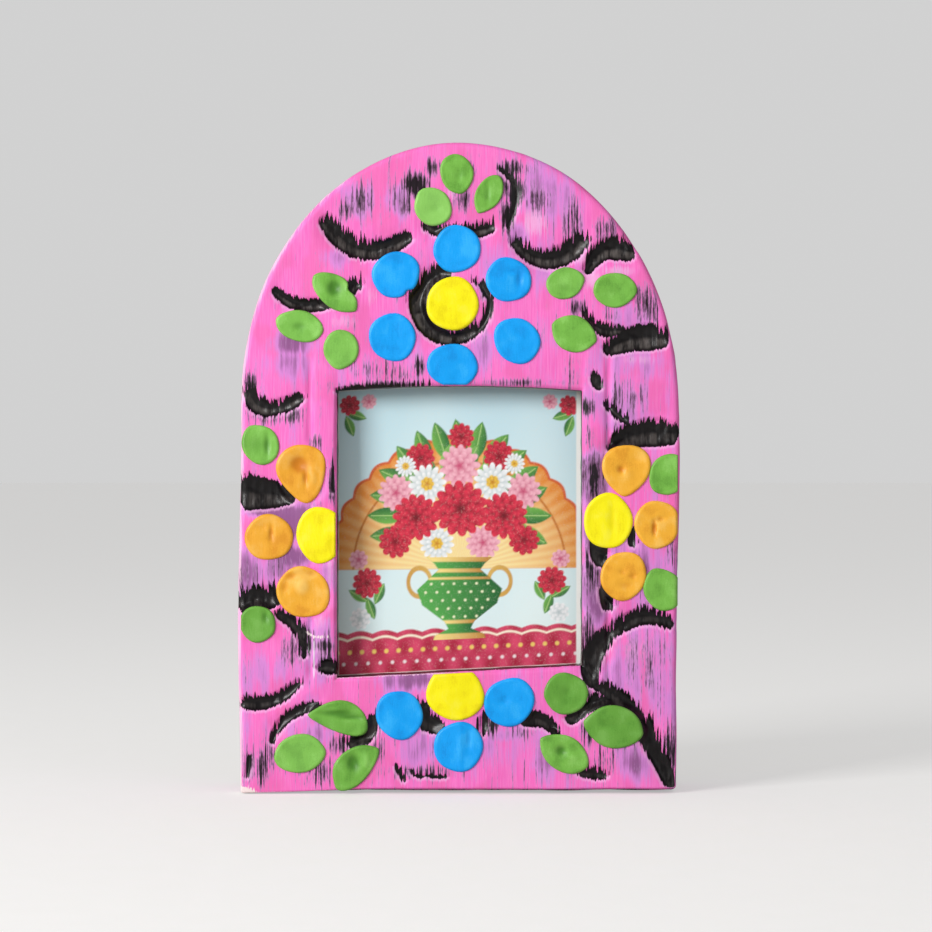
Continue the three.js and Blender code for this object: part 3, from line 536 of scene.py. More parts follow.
def feed(tree, node, inputs):
    """Gives each input of a node a number, a web colour or a link from another node's output."""
    for socket, value in inputs.items():
        if isinstance(value, bpy.types.NodeSocket):
            tree.links.new(value, node.inputs[socket])
        else:
            node.inputs[socket].default_value = linear(value) if isinstance(value, str) else value


def put(tree, kind, inputs=None, **settings):
    """Adds one node with its settings and inputs."""
    node = tree.nodes.new(kind)
    for key, value in settings.items():
        setattr(node, key, value)
    feed(tree, node, inputs or {})
    return node


class Finish:
    """A material in the making, from object coordinates (place) to its Principled shader."""

    def __init__(self, name):
        self.material = bpy.data.materials.new(name)
        self.material.use_nodes = True
        self.tree = self.material.node_tree
        self.shader = self.tree.nodes["Principled BSDF"]
        self.place = put(self.tree, "ShaderNodeTexCoord").outputs["Object"]

    def fact(self, name, output="Fac"):
        """What the mesh carries under this name at each point."""
        return put(self.tree, "ShaderNodeAttribute", attribute_name=name).outputs[output]

    def noise(self, coordinates, per_mm, detail=2.0):
        """A noise pattern with so many blotches to the millimetre along x, y and z."""
        scaled = put(self.tree, "ShaderNodeMapping", {"Vector": coordinates, "Scale": [k / MM for k in per_mm]})
        return put(self.tree, "ShaderNodeTexNoise", {"Vector": scaled.outputs[0], "Scale": 1.0, "Detail": detail,
                                                     "Roughness": 0.55}).outputs["Fac"]

    def math(self, operation, *values):
        """One step of arithmetic on numbers or other nodes' outputs."""
        return put(self.tree, "ShaderNodeMath", dict(enumerate(values)), operation=operation).outputs[0]

    def times(self, value, factor):
        """value x factor."""
        return self.math("MULTIPLY", value, factor)

    def total(self, start, *terms):
        """start + value x factor + value x factor, and so on."""
        for value, factor in terms:
            start = self.math("MULTIPLY_ADD", value, factor, start)
        return start

    def ramp(self, value, start, end, low=0.0, high=1.0):
        """Takes a value from start..end to low..high along a smooth S, and holds it there outside."""
        return put(self.tree, "ShaderNodeMapRange", {"Value": value, "From Min": start, "From Max": end, "To Min": low,
                                                     "To Max": high}, interpolation_type="SMOOTHSTEP").outputs[0]

    def coats(self, colour, *layers):
        """Lays colours over a first one, each as thick as its amount from 0 to 1."""
        for amount, over in layers:
            colour = put(self.tree, "ShaderNodeMix", {0: amount, 6: colour, 7: over}, data_type="RGBA").outputs[2]
        return colour

    def surface(self, colour, roughness, bump, others=None):
        """Joins colour, roughness and a bump (its pattern, strength and height in mm) to the shader."""
        height, strength, depth = bump
        bumped = put(self.tree, "ShaderNodeBump", {"Height": height, "Strength": strength, "Distance": depth * MM})
        feed(self.tree, self.shader, {"Base Color": colour, "Roughness": roughness, "Normal": bumped.outputs[0],
                                      **(others or {})})
        return self.material

# %% The black coat with its painted sheen, and the painted highlight lines
def black_with_painted_sheen(m, inside, upper, upright, sheen_breakup):
    """Black satin paint with a painted grey sheen on the lower walls of the marks, which face the light, and more of
    it higher up, where the marks catch more light.
    """
    lower_wall = m.times(m.ramp(upper, 0.05, 0.6, 1.0, 0.0), m.ramp(inside, 0.1, 0.6))
    painted_sheen = m.times(lower_wall, m.ramp(sheen_breakup, 0.75, 1.1, 0.05, 0.8))
    painted_sheen = m.times(painted_sheen, m.ramp(upright, 20 * MM, 60 * MM, 0.4, 1.0))
    return m.coats("#0a0608", (painted_sheen, "#635c59"))


def highlight_line(m, across, upright, at, low, high):
    """How much an upright painted highlight line at x = at shows: full within 0.06 mm of it, and fading at its two
    ends.
    """
    off = m.math("ABSOLUTE", m.total(-at * MM, (across, 1.0)))
    rise = m.ramp(upright, (low - 0.3) * MM, (low + 0.3) * MM)
    fade = m.ramp(upright, (high - 0.6) * MM, high * MM, 1.0, 0.0)
    return m.times(m.times(rise, fade), m.ramp(off, 0.06 * MM, 0.12 * MM, 0.75, 0.0))

# %% Dry-brushed pink acrylic over the black coat
def dry_brushed_paint():
    """Pink acrylic with a soft sheen, dragged over the black in vertical streaks about 0.3 mm wide; to the eye,
    bright pink with black troughs whose upper and lower edges are ragged.

    The noises run along the stroke, from the brush's load of paint (5 mm) to its hairs (0.2 mm). Black shows where
    the distance into a mark plus the streaks is above zero, and where dryness plus the streaks is high."""
    m = Finish("pink acrylic dry-brushed over a black coat")
    inside, upper, dry, thin_and_shaded, wear_and_edge_highlight, chip, across, pale = (m.fact(name) for name in paint_facts)
    upright = put(m.tree, "ShaderNodeSeparateXYZ", {0: m.place}).outputs["Z"]
    brush = put(m.tree, "ShaderNodeCombineXYZ", {"X": across, "Z": upright}).outputs[0]
    load = m.noise(brush, (0.2, 1.0, 0.16), detail=1.0)
    sweep = m.noise(brush, (0.9, 1.0, 0.08))
    streak = m.noise(brush, (3.0, 1.0, 0.10), detail=1.0)
    fringe = m.noise(brush, (4.2, 1.0, 0.06))
    grit = m.noise(brush, (5.0, 1.0, 1.2))
    hairs = m.noise(brush, (6.0, 1.0, 0.25))
    blotch = m.noise(m.place, (0.26, 0.26, 0.16))
    reach = m.times(m.ramp(upper, 0.0, 1.0, 0.8, 2.9), m.ramp(load, 0.36, 0.62, 0.35, 1.35))
    spikes = m.times(m.total(-0.8, (streak, 0.6), (fringe, 1.0)), reach)
    ragged = m.total(-0.15, (spikes, 1.0), (inside, 1.0), (hairs, 0.3))
    brushed = m.total(-2.4, (grit, 1.0), (hairs, 1.6), (sweep, 0.6), (streak, 1.6))
    patchy = m.total(-0.33, (brushed, 1.0), (load, 0.6), (dry, 1.2))
    black = m.math("MAXIMUM", m.ramp(ragged, -0.05, 0.07), m.ramp(patchy, 0.74, 0.98, 0.0, 0.95))
    # violet and plum: thin paint, plus painted shade
    thinness_and_shade = m.total(-1.35, (thin_and_shaded, 0.9), (sweep, 1.3), (brushed, 0.3), (blotch, 1.4))
    # pale pink from the brush, plus a painted shine on the lit pillows
    pale_brush_and_shine = m.total(0.0, (brushed, 0.5), (pale, 1.0))
    crest = m.times(m.ramp(ragged, -0.45, -0.1, 0.0, 0.6), m.ramp(upper, 0.0, 0.5, 1.0, 0.0))
    # pale edge: wear, plus a painted highlight on the lit edges
    rubbed_and_lit = m.total(-0.6, (wear_and_edge_highlight, 1.0), (fringe, 1.2))
    chipped = m.total(-0.6, (chip, 1.0), (grit, 0.6), (fringe, 0.6))
    # the black of the marks, with a painted grey sheen on their lower walls
    coat = black_with_painted_sheen(m, inside, upper, upright, m.total(sweep, (streak, 0.3), (grit, 0.5)))
    colour = m.coats(
        "#f76fc3", (m.ramp(hairs, 0.35, 0.65), "#fb80cc"), (m.ramp(blotch, 0.36, 0.5, 0.55, 0.0), "#ee6aae"),
        (m.ramp(thinness_and_shade, 0.1, 0.7), "#dc8ad8"), (m.ramp(thinness_and_shade, 0.55, 1.2, 0.0, 0.85), "#84507f"),
        (m.ramp(pale_brush_and_shine, 0.3, 0.9, 0.0, 0.8), "#f4b2e2"), (m.ramp(patchy, 0.22, 0.55, 0.0, 0.7), "#bd88bd"),
        (m.ramp(patchy, 0.45, 0.74, 0.0, 0.9), "#6f4a69"), (crest, "#f5b4e6"),
        (m.ramp(rubbed_and_lit, 0.4, 0.9, 0.0, 0.8), "#ffd0ea"), (black, coat),
        # painted highlight lines on the lit steps beside the window
        *((highlight_line(m, across, upright, *line), "#ead6ea") for line in EDGE_HIGHLIGHT_LINES),
        (m.ramp(chipped, 0.4, 0.55), "#f6e4e2"))
    height = m.total(0.0, (hairs, 0.4), (streak, 0.7), (black, -0.35))
    return m.surface(colour, m.ramp(black, 0.0, 1.0, 0.46, 0.36), (height, 0.4, 0.09),
                     {"Specular IOR Level": m.ramp(black, 0.0, 1.0, 0.22, 0.40)})

# %% [markdown]
# ## From arrays to a mesh
# Hand-cut wood could be sculpted with brushes, but then nobody could make it again. Here each
# piece is a surface worked out at the points of a grid, row by row and column by column. Small
# functions join the grid into four-sided faces, make the Blender object, turn its faces outward
# and hide the CAD node that it stands for.

# %% Grid and piece helpers
def grid_faces(rows, columns, join_rows=False, join_columns=False):
    """Four-sided faces between neighbouring grid points; a joined direction closes on itself."""
    r = np.arange(rows if join_rows else rows - 1)[:, None]
    c = np.arange(columns if join_columns else columns - 1)[None, :]
    r2, c2 = (r + 1) % rows, (c + 1) % columns
    corners = [r * columns + c, r * columns + c2, r2 * columns + c2, r2 * columns + c]
    return np.stack([np.broadcast_to(k, (r.size, c.size)) for k in corners], -1).reshape(-1, 4)


def tube(rows, columns):
    """Faces of a grid whose columns close into rings, and the two caps that shut its ends."""
    last = (rows - 1) * columns
    return grid_faces(rows, columns, join_columns=True), [range(columns - 1, -1, -1), range(last, last + columns)]


def volume(points, faces):
    """Six times the signed volume: the sum of a . (b x c) + a . (c x d) over the faces' corners."""
    a, b, c, d = (points[faces[:, k]] for k in range(4))
    return np.einsum("ij,ij", a, np.cross(b, c)) + np.einsum("ij,ij", a, np.cross(c, d))


def new_object(name, points, polygons, material):
    """A Blender object from points in metres and faces, in one material."""
    mesh = bpy.data.meshes.new(name)
    mesh.from_pydata(points.tolist(), [], polygons)
    mesh.materials.append(material)
    made = bpy.data.objects.new(name, mesh)
    bpy.context.collection.objects.link(made)
    return made


def add_piece(name, points, faces, caps, node, slot, material, fields=None):
    """A smooth closed mesh of points in mm, with any caps and numbers at its points, put in its node's place."""
    points = np.asarray(points, float).reshape(-1, 3)
    order = 1 if volume(points - points.mean(0), faces) >= 0 else -1
    polygons = faces[:, ::order].tolist() + [list(cap)[::order] for cap in caps]
    piece = new_object(name, points * MM, polygons, material)
    for field, values in (fields or {}).items():
        kind, key = ("FLOAT", "value") if np.size(values) == len(points) else ("FLOAT_COLOR", "color")
        data = piece.data.attributes.new(field, kind, "POINT").data
        data.foreach_set(key, np.ravel(values).astype("f"))
    piece.data.polygons.foreach_set("use_smooth", np.ones(len(polygons), bool))
    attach(piece, "root")
    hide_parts(node)
    return piece

# %% The arch as a mesh
arch = add_piece("carved_arch", ring[..., :3], grid_faces(len(ring), COLUMNS, True, True), (), "front_frame",
                 "painted_wood", dry_brushed_paint(), paint_facts)
print(arch.name, len(arch.data.polygons), "faces")

# %% [markdown]
# ## The dabs of thick paint
# Each dab was one press of a loaded brush: a flat-topped drop about a quarter of a millimetre
# thick with a rounded rim. It follows the carved wood beneath, so dents show through, which a
# plain squashed ball would not do. The grid is polar: columns go round the dab, rows go from its
# middle over the top to the rim and back beneath to the middle, a little sunk into the wood so
# that no gap shows.

# %% Acrylic colours
def thick_acrylic(name, body, deep, pale):
    """Opaque artist's acrylic straight from the pot: a strong colour with a slightly darker and a slightly paler
    drift, painted shade in its dents and a painted highlight on its folds, a per-dab tone that is partly painted
    light, with fine brush lines and a soft sheen."""
    m = Finish(name)
    drift = m.noise(m.place, (0.45, 0.45, 0.45), detail=1.0)
    lines = m.noise(m.place, (5.0, 5.0, 1.1))
    grains = m.noise(m.place, (6.0, 6.0, 6.0))
    # per point, painted shade in dents (above 0) and a painted highlight on folds (below 0); per dab, a tone that is
    # partly painted light
    tone_and_light, crease_shade_and_highlight = m.fact("tone_and_light"), m.fact("crease_shade_and_highlight")
    tone = m.total(-0.275, (grains, 0.3), (lines, 0.25), (drift, 1.0))
    colour = m.coats(
        body, (m.ramp(tone, 0.25, 0.5, 0.45, 0.0), deep), (m.ramp(tone, 0.5, 0.75, 0.0, 0.5), pale),
        (m.ramp(tone_and_light, -1.0, 0.0, 0.4, 0.0), deep), (m.ramp(tone_and_light, 0.0, 1.0, 0.0, 0.5), pale),
        (m.ramp(crease_shade_and_highlight, 0.1, 0.9, 0.0, 0.9), deep), (m.ramp(crease_shade_and_highlight, -0.6, -0.1, 0.7, 0.0), pale))
    height = m.total(0.0, (drift, 0.5), (grains, 0.35), (lines, 0.6))
    return m.surface(colour, m.ramp(grains, 0.3, 0.7, 0.34, 0.48), (height, 0.4, 0.07), {"Specular IOR Level": 0.3})


ACRYLICS = {
    "blue": thick_acrylic("thick sky-blue acrylic", "#06a4f8", "#0480d2", "#3cbcff"),
    "yellow": thick_acrylic("thick lemon-yellow acrylic", "#fdf108", "#e2c800", "#fff64a"),
    "orange": thick_acrylic("thick golden-orange acrylic", "#f7b436", "#cf7c16", "#ffd070"),
    "green": thick_acrylic("thick leaf-green acrylic", "#7abb4b", "#457f24", "#9cda70"),
}
print(len(ACRYLICS), "acrylic colours")

# %% Shape of a dab
AROUND, DAB_THICK, SUNK = 96, 0.26, 0.15
SIDE_GAP, WINDOW_GAP = 0.05, 0.1                  # how far a dab stays from the outer side and the window
RIM_WAVES = ((0.018, 2), (0.017, 3), (0.012, 5))  # height and number of the waves in a rim
ROLL, RIDGE, RIDGE_RHO = 0.10, 0.03, 0.86         # share of a dab that rounds off, and the ridge inside it
TOP_RHO = np.concatenate([np.linspace(0.02, 0.88, 15), [0.91, 0.94, 0.965, 0.985, 0.996, 1.0]])
UNDER_RHO = np.array([0.995, 0.9, 0.6, 0.3, 0.02])
BOWED = {"leaf_lower_left_1": 0.8, "leaf_upper_left_1": -0.3, "leaf_lower_left_3": 0.3}  # mm that a middle bends aside
NOTCHED = {"leaf_upper_left_1": (245, 15, 0.3), "flower_top_petal_6": (287, 11, 0.14)}  # angle, spread, depth share


def circle(count):
    """Angles of so many points evenly round a circle."""
    return np.linspace(0, 2 * np.pi, count, endpoint=False)


def edge_drop(x, z):
    """How far the rounded outer edge of a straight side has fallen back at x: a quarter circle."""
    past = np.clip(np.abs(x) - (HALF + side_bow(x, z) - EDGE_ROUND), 0, EDGE_ROUND * 0.98)
    return EDGE_ROUND - np.sqrt(EDGE_ROUND ** 2 - past ** 2)


def dab_rim(dab, seed):
    """The rim: along = half length x cos, across = half width x sin x |sin|^point x (1 - taper cos), both made
    uneven by waves and a notch, bent aside by bow x sin^2, turned by the tilt and held on the front."""
    theta = circle(AROUND)
    starts = np.random.default_rng(seed).uniform(0, 6, len(RIM_WAVES))
    rim = 1 + sum(high * np.sin(k * theta + start) for (high, k), start in zip(RIM_WAVES, starts))
    notch_at, notch_spread, notch_depth = NOTCHED.get(dab.node, (0, 1, 0))
    rim = rim - notch_depth * np.exp(-((np.degrees(theta) - notch_at) / notch_spread) ** 2)
    along = dab.length / 2 * np.cos(theta) * rim
    across = dab.width / 2 * np.sin(theta) * np.abs(np.sin(theta)) ** dab.point * (1 - dab.taper * np.cos(theta)) * rim
    across = across + BOWED.get(dab.node, 0.0) * (np.sin(theta) ** 2 - 0.5)
    off_x, off_z = turned(along, across, -dab.tilt)
    rim_x, rim_z = np.clip(dab.x + off_x, -HALF + SIDE_GAP, HALF - SIDE_GAP), dab.z + off_z
    over_window = np.abs(rim_x) < WINDOW_X + WINDOW_GAP
    if dab.border == "base":
        rim_z = np.where(over_window, np.minimum(rim_z, WINDOW_LOW + SILL_CLIMB * rim_x - WINDOW_GAP), rim_z)
    elif dab.border == "top":
        rim_z = np.where(over_window, np.maximum(rim_z, WINDOW_HIGH + head_bow(rim_x) + WINDOW_GAP), rim_z)
    else:
        rim_x = np.where(over_window, np.sign(dab.x) * (WINDOW_X + WINDOW_GAP), rim_x)
    return rim_x, rim_z


def dab_surface(dab, seed):
    """Rows of points, each at a share rho of the way from the middle to the rim, as high as the carved wood plus
    the paint's thickness, which ends in a quarter circle; the rows beneath are sunk into the wood."""
    rim_x, rim_z = dab_rim(dab, seed)
    rho = np.concatenate([TOP_RHO, UNDER_RHO])[:, None]
    x, z = dab.x + rho * (rim_x - dab.x), dab.z + rho * (rim_z - dab.z)
    ground = FACE + relief(x, z)[0] + edge_drop(x, z)
    inward = np.clip((1 - rho) / ROLL, 0, 1)
    ridge = RIDGE * np.exp(-((rho - RIDGE_RHO) / 0.06) ** 2)
    thick = DAB_THICK * np.sqrt(inward) * np.sqrt(2 - inward) + ridge + 0.012 * ripple(x, z, 1.6, seed) * (rho < 0.9)
    over = (np.arange(len(rho)) < len(TOP_RHO))[:, None]
    return np.dstack([x, np.where(over, ground - thick, ground + SUNK), z])

# %% Lay every dab on the arch
FIRST_SEED, FULL_CREASE_SHADE = 100, 0.35
TONE_AND_LIGHT = {  # how much paler (or, below 0, deeper) a dab is than the rest of its colour: partly its own tone, partly painted light, mostly paler higher up and deeper lower down
    "leaf_top_1": 1.0, "leaf_top_3": -0.3, "leaf_upper_left_2": 0.3, "leaf_upper_left_3": 0.4,
    "leaf_upper_right_1": 0.3, "leaf_left_1": 0.3, "leaf_left_2": -0.8, "leaf_lower_left_1": -0.5,
    "leaf_lower_left_2": 0.4, "leaf_lower_left_3": -0.4, "leaf_lower_right_1": -0.9, "leaf_lower_right_2": -0.9,
    "flower_left_petal_1": -0.6, "flower_left_petal_2": -0.5, "flower_left_petal_3": -0.3,
}
dab_faces, dab_caps = tube(len(TOP_RHO) + len(UNDER_RHO), AROUND)
for number, dab in enumerate(DABS):
    surface = dab_surface(dab, FIRST_SEED + number)
    # painted shade in the dents under the dab, and a painted highlight on its folds
    crease_shade_and_highlight = np.clip(dents(surface[..., 0], surface[..., 2]) / FULL_CREASE_SHADE, -1, 1)
    add_piece("paint_" + dab.node, surface, dab_faces, dab_caps, dab.node, dab.colour + "_paint",
              ACRYLICS[dab.colour], {"tone_and_light": np.full(crease_shade_and_highlight.shape, TONE_AND_LIGHT.get(dab.node, 0.0)), "crease_shade_and_highlight": crease_shade_and_highlight})
print(len(DABS), "dabs,", len(dab_faces), "faces each")

# %% [markdown]
# ## The paper print
# A small colour print is glued to the board behind the window, with its white cut edge showing.
# The picture is a generic folk still life: flowers in a green urn before a golden fan of rays.
# It is painted straight onto the grid of the paper, layer over layer, each layer a soft mask made
# from distances, so the colours belong to the mesh and need no image.

# %% Paint box for the picture
PRINT_COLUMNS, PRINT_ROWS = 262, 303
half_w, half_h = (print_high[0] - print_low[0]) / 2, (print_high[2] - print_low[2]) / 2
u, v = np.meshgrid(np.linspace(-half_w, half_w, PRINT_COLUMNS), np.linspace(-half_h, half_h, PRINT_ROWS))
ink = np.empty((PRINT_ROWS, PRINT_COLUMNS, 3))
DARK_LEAF, PALE_LEAF = ("#1f6b35", "#74b64d"), ("#2c8040", "#93c860")
CRIMSON, BRIGHT_RED, DEEP_RED = ("#7c0a1e", "#dc2744"), ("#7c0a1e", "#e02c49"), ("#6d0718", "#e8304d")
ROSE, WHITE, GOLD = ("#c9436f", "#fbc1cf"), ("#b9c8c9", "#ffffff"), ("#c8801c", "#f9d64b")
PAPER = "#f7f5ee"
print(f"paper {2 * half_w:.1f} x {2 * half_h:.1f} mm, {PRINT_COLUMNS * PRINT_ROWS} points")


def shade(code):
    """A web colour as three linear numbers."""
    return np.array(linear(code)[:3])


def lay(mask, colour):
    """Lays a colour over the picture: what was there x (1 - mask), plus the colour x mask."""
    colour = shade(colour) if isinstance(colour, str) else colour
    ink[:] = ink * (1 - mask[..., None]) + colour * mask[..., None]


def within(distance, soft=0.14):
    """1 inside a shape and 0 outside: a half less the distance to its edge over the width of the soft border."""
    return np.clip(0.5 - distance / soft, 0, 1)


def mix(pair, amount):
    """A colour between two, for every grid point: first + (second - first) x amount."""
    first, second = shade(pair[0]), shade(pair[1])
    return first + (second - first) * np.clip(amount, 0, 1)[..., None]


def blossom(x, z, size, petals, layers, colours, slim=0.22, seed=0):
    """Rings of petals, smaller and smaller: each ring's rim swings with the angle, and its colour runs from dark
    at the petals' roots and joints to light at their tips."""
    far, angle = np.hypot(u - x, v - z), np.arctan2(v - z, u - x)
    for k in range(layers):
        reach = size * (1 - 0.8 * k / layers)
        swing = np.abs(np.cos(max(5, petals - 2 * k) * (angle + 0.7 * k + seed) / 2)) ** 0.7
        tone = (far / reach) ** 1.3 * (0.35 + 0.65 * swing)
        lay(within(far - reach * (1 - slim + slim * swing)), mix(colours, tone))


def leaf(x, z, length, width, tilt, colours=DARK_LEAF):
    """A pointed leaf with a pale midrib: the width falls from the middle to both tips as 1 - (2 along / length)^2."""
    along, across = turned(u - x, v - z, tilt)
    half = width / 2 * np.clip(1 - (2 * along / length) ** 2, 0, 1)
    lay(within(np.abs(across) - half) * (np.abs(along) < length / 2), mix(colours, 0.5 + across / width))
    lay(within(np.abs(across) - 0.06, 0.1) * (np.abs(along) < 0.42 * length), "#a9d27c")

# %% Ground, fan of rays and cloth
FAN_Z, FAN_RADIUS = -4.5, 14.4
ink[:] = mix(("#e6f6f4", "#c6e4ec"), 0.5 + v / 30 + 0.12 * np.sin(u * 0.5))
fan_far, fan_turn = np.hypot(u, v - FAN_Z), np.arctan2(v - FAN_Z, u)
fan_rays = 0.5 + 0.5 * np.sin(64 * fan_turn)
scallop = FAN_RADIUS + 0.5 * np.abs(np.sin(16 * fan_turn))
above = within(FAN_Z - v)
lay(within(fan_far - scallop - 0.35) * above, "#d9602b")
lay(within(fan_far - scallop) * above, mix(("#fbe3a0", "#e88e34"), (fan_far / 14.5) ** 2.2 + 0.22 * fan_rays - 0.12))
lay(within(np.abs(fan_far - 12.2) - 0.12) * above, "#c9772a")
cloth = -11.6 + 0.35 * np.abs(np.cos(u * 1.1))
lay(within(v - cloth), mix(("#b3173c", "#e2476d"), 0.5 + 0.5 * np.sin(u * 2.2) * np.sin(v * 1.3)))
lay(within(np.abs(v - cloth + 0.7) - 0.13), "#fff0d8")
lay(within(np.hypot((u + 0.7) % 1.4 - 0.7, v + 13.6) - 0.25), "#f6d26a")
lay(within(np.hypot(u % 1.4 - 0.7, v + 14.9) - 0.2), "#fbe7e9")
print(f"fan covers {np.mean((fan_far < scallop) * above):.0%} of the picture")

# %% Leaves and flowers
for turn in np.arange(-15, 196, 15):
    a = np.radians(turn)
    leaf(8.3 * np.cos(a), 1.6 + 8.6 * np.sin(a), 4.6, 1.9, turn + 12 * np.sin(5 * a))
for turn in np.arange(-8, 190, 22):
    a = np.radians(turn)
    leaf(6.4 * np.cos(a), 1.4 + 6.4 * np.sin(a), 4.2, 1.8, turn - 20, PALE_LEAF)
for x, z, size in ((-4.5, 8.1, 1.7), (4.5, 8.3, 1.8), (0.2, 10.5, 1.5), (-7.4, -1.4, 1.9), (7.4, -1.2, 1.8)):
    blossom(x, z, size, 11, 4, CRIMSON, seed=x)
for x, z, size in ((-7.3, 4.2, 2.1), (7.3, 4.4, 2.1), (0.0, 7.2, 2.4), (2.7, -1.5, 2.0)):
    blossom(x, z, size, 13, 5, ROSE, 0.3, seed=z)
for x, z, size in ((-3.7, 5.2, 2.2), (3.8, 5.4, 2.2), (-2.6, -1.6, 2.0), (-6.2, 7.2, 1.2), (6.3, 7.5, 1.2)):
    blossom(x, z, size, 14, 2, WHITE, 0.3, seed=x)
    blossom(x, z, size * 0.36, 7, 2, GOLD)
for x, z, size in ((-5.0, 1.4, 2.7), (5.1, 1.6, 2.7), (0.1, 2.4, 3.2)):
    blossom(x, z, size, 14, 5, DEEP_RED, seed=z)
print("mean colour with the flowers", ink.mean((0, 1)).round(3))

# %% Urn, side sprigs and cut edge
urn_z = np.array([-12.6, -12.1, -11.4, -10.6, -8.6, -6.9, -5.4, -4.6, -3.9, -3.2])
urn_half = np.interp(v, urn_z, [3.0, 2.8, 1.3, 1.7, 4.3, 4.9, 3.3, 2.4, 2.9, 3.7], left=0, right=0)
urn_side = 0.5 * u / np.maximum(urn_half, 0.5)  # -0.5 to 0.5 across the urn
urn = within(np.abs(u) - urn_half) * (v > urn_z[0]) * (v < urn_z[-1])
for side in (-1, 1):
    handle = np.hypot((u - side * 4.6) / 0.8, v + 6.0) - 1.6
    lay(within(np.abs(handle) - 0.28), mix(("#b9761f", "#f7d774"), 0.5 - u * side / 12 + 0.3))
lay(urn, mix(("#14602c", "#55ad4e"), 0.55 - urn_side))
dots = np.hypot((u + 0.65 * (np.floor((v + 20) / 0.95) % 2)) % 1.3 - 0.65, (v + 20) % 0.95 - 0.475)
lay(within(dots - 0.15) * urn * (v < -5.8) * (v > -10.2), "#f1f6c9")
for band, wide in ((-3.4, 0.3), (-4.7, 0.22), (-5.6, 0.14), (-10.6, 0.2), (-12.3, 0.35)):
    lay(within(np.abs(v - band) - wide) * urn, mix(("#b9761f", "#fbe08a"), 0.6 - urn_side))
for side in (-1, 1):
    for x, z, tilt in ((10.2, -8.8, 70), (11.6, -7.4, 30), (9.2, -7.2, 115), (11.9, 13.2, 200), (12.6, 12.0, 250)):
        leaf(side * x, z, 2.6, 1.1, tilt if side > 0 else 180 - tilt)
    for x, z, size, petals, layers, colours in (
            (10.6, -6.0, 1.7, 11, 4, BRIGHT_RED), (11.6, -3.4, 1.1, 9, 3, ROSE), (11.4, -9.9, 1.2, 9, 3, WHITE),
            (12.6, 14.4, 1.2, 9, 3, BRIGHT_RED), (10.4, 14.7, 0.9, 9, 3, ROSE)):
        blossom(side * x, z, size, petals, layers, colours, seed=side)
lay(within(np.minimum(half_w - np.abs(u), half_h - np.abs(v)) - 0.12), PAPER)
lay(within(half_w - 0.6 - u), "#fbfaf5")
print("picture painted on", ink.shape[:2], "points")

# %% The sheet itself
def printed_paper():
    """Inkjet colours on smooth white paper: the painted colours with a faint fibre speckle, and a soft sheen."""
    m = Finish("colour print on smooth white paper")
    fibre = m.noise(m.place, (5.0, 5.0, 5.0), detail=3.0)
    colour = m.coats(m.fact("ink", "Color"), (m.ramp(fibre, 0.5, 0.75, 0.0, 0.14), "#e9e4d6"))
    return m.surface(colour, m.ramp(fibre, 0.3, 0.7, 0.38, 0.52), (fibre, 0.25, 0.02))


TUCK = 0.08  # how far the sheet reaches behind the window's edge
wave = 0.10 + 0.06 * np.sin(u * 0.33 + 0.6) * np.sin(v * 0.21) + 0.12 * ((u / half_w) ** 2) * ((v / half_h) ** 2)
fill_x, fill_z = (WINDOW_X + TUCK) / half_w, (WINDOW_HIGH - MIDDLE_Z + TUCK) / half_h
sheet_flat = hand_cut(np.dstack([fill_x * u, MIDDLE_Z + fill_z * v]))
sheet_front = np.dstack([sheet_flat[..., 0], print_low[1] - wave, sheet_flat[..., 1]]).reshape(-1, 3)
index = np.arange(len(sheet_front)).reshape(PRINT_ROWS, PRINT_COLUMNS)
rim = np.concatenate([index[0, :-1], index[:-1, -1], index[-1, :0:-1], index[:0:-1, 0]])
back_rim = index.size + np.arange(len(rim))
rim_faces = np.stack([rim, back_rim, np.roll(back_rim, -1), np.roll(rim, -1)], -1)
sheet_points = np.concatenate([sheet_front, sheet_front[rim] + [0, print_high[1] - print_low[1], 0]])
sheet_ink = np.concatenate([ink.reshape(-1, 3), np.tile(shade(PAPER), (len(rim), 1))])
sheet = add_piece("printed_picture", sheet_points, np.concatenate([grid_faces(*index.shape), rim_faces]),
                  [back_rim[::-1].tolist()], "picture_print", "paper_print", printed_paper(),
                  {"ink": np.column_stack([sheet_ink, np.ones(len(sheet_ink))])})
print(sheet.name, len(sheet.data.polygons), "faces")

# %% [markdown]
# ## The back board
# A solid softwood board behind the carved arch carries the print and gives the shrine its depth.
# It is sawn a little smaller than the arch. The painter's black and pink run over its sides and
# stop raggedly just round the corner; the back is bare. A bevelled extrusion would give the shape
# but no say in where the paint stops, so the grid is polar: columns go round the arch, rows run
# from the middle of the board's front over its side to the middle of its back.

# %% Sawn pine with paint on its sides
RINGS_PER_M = 480.0


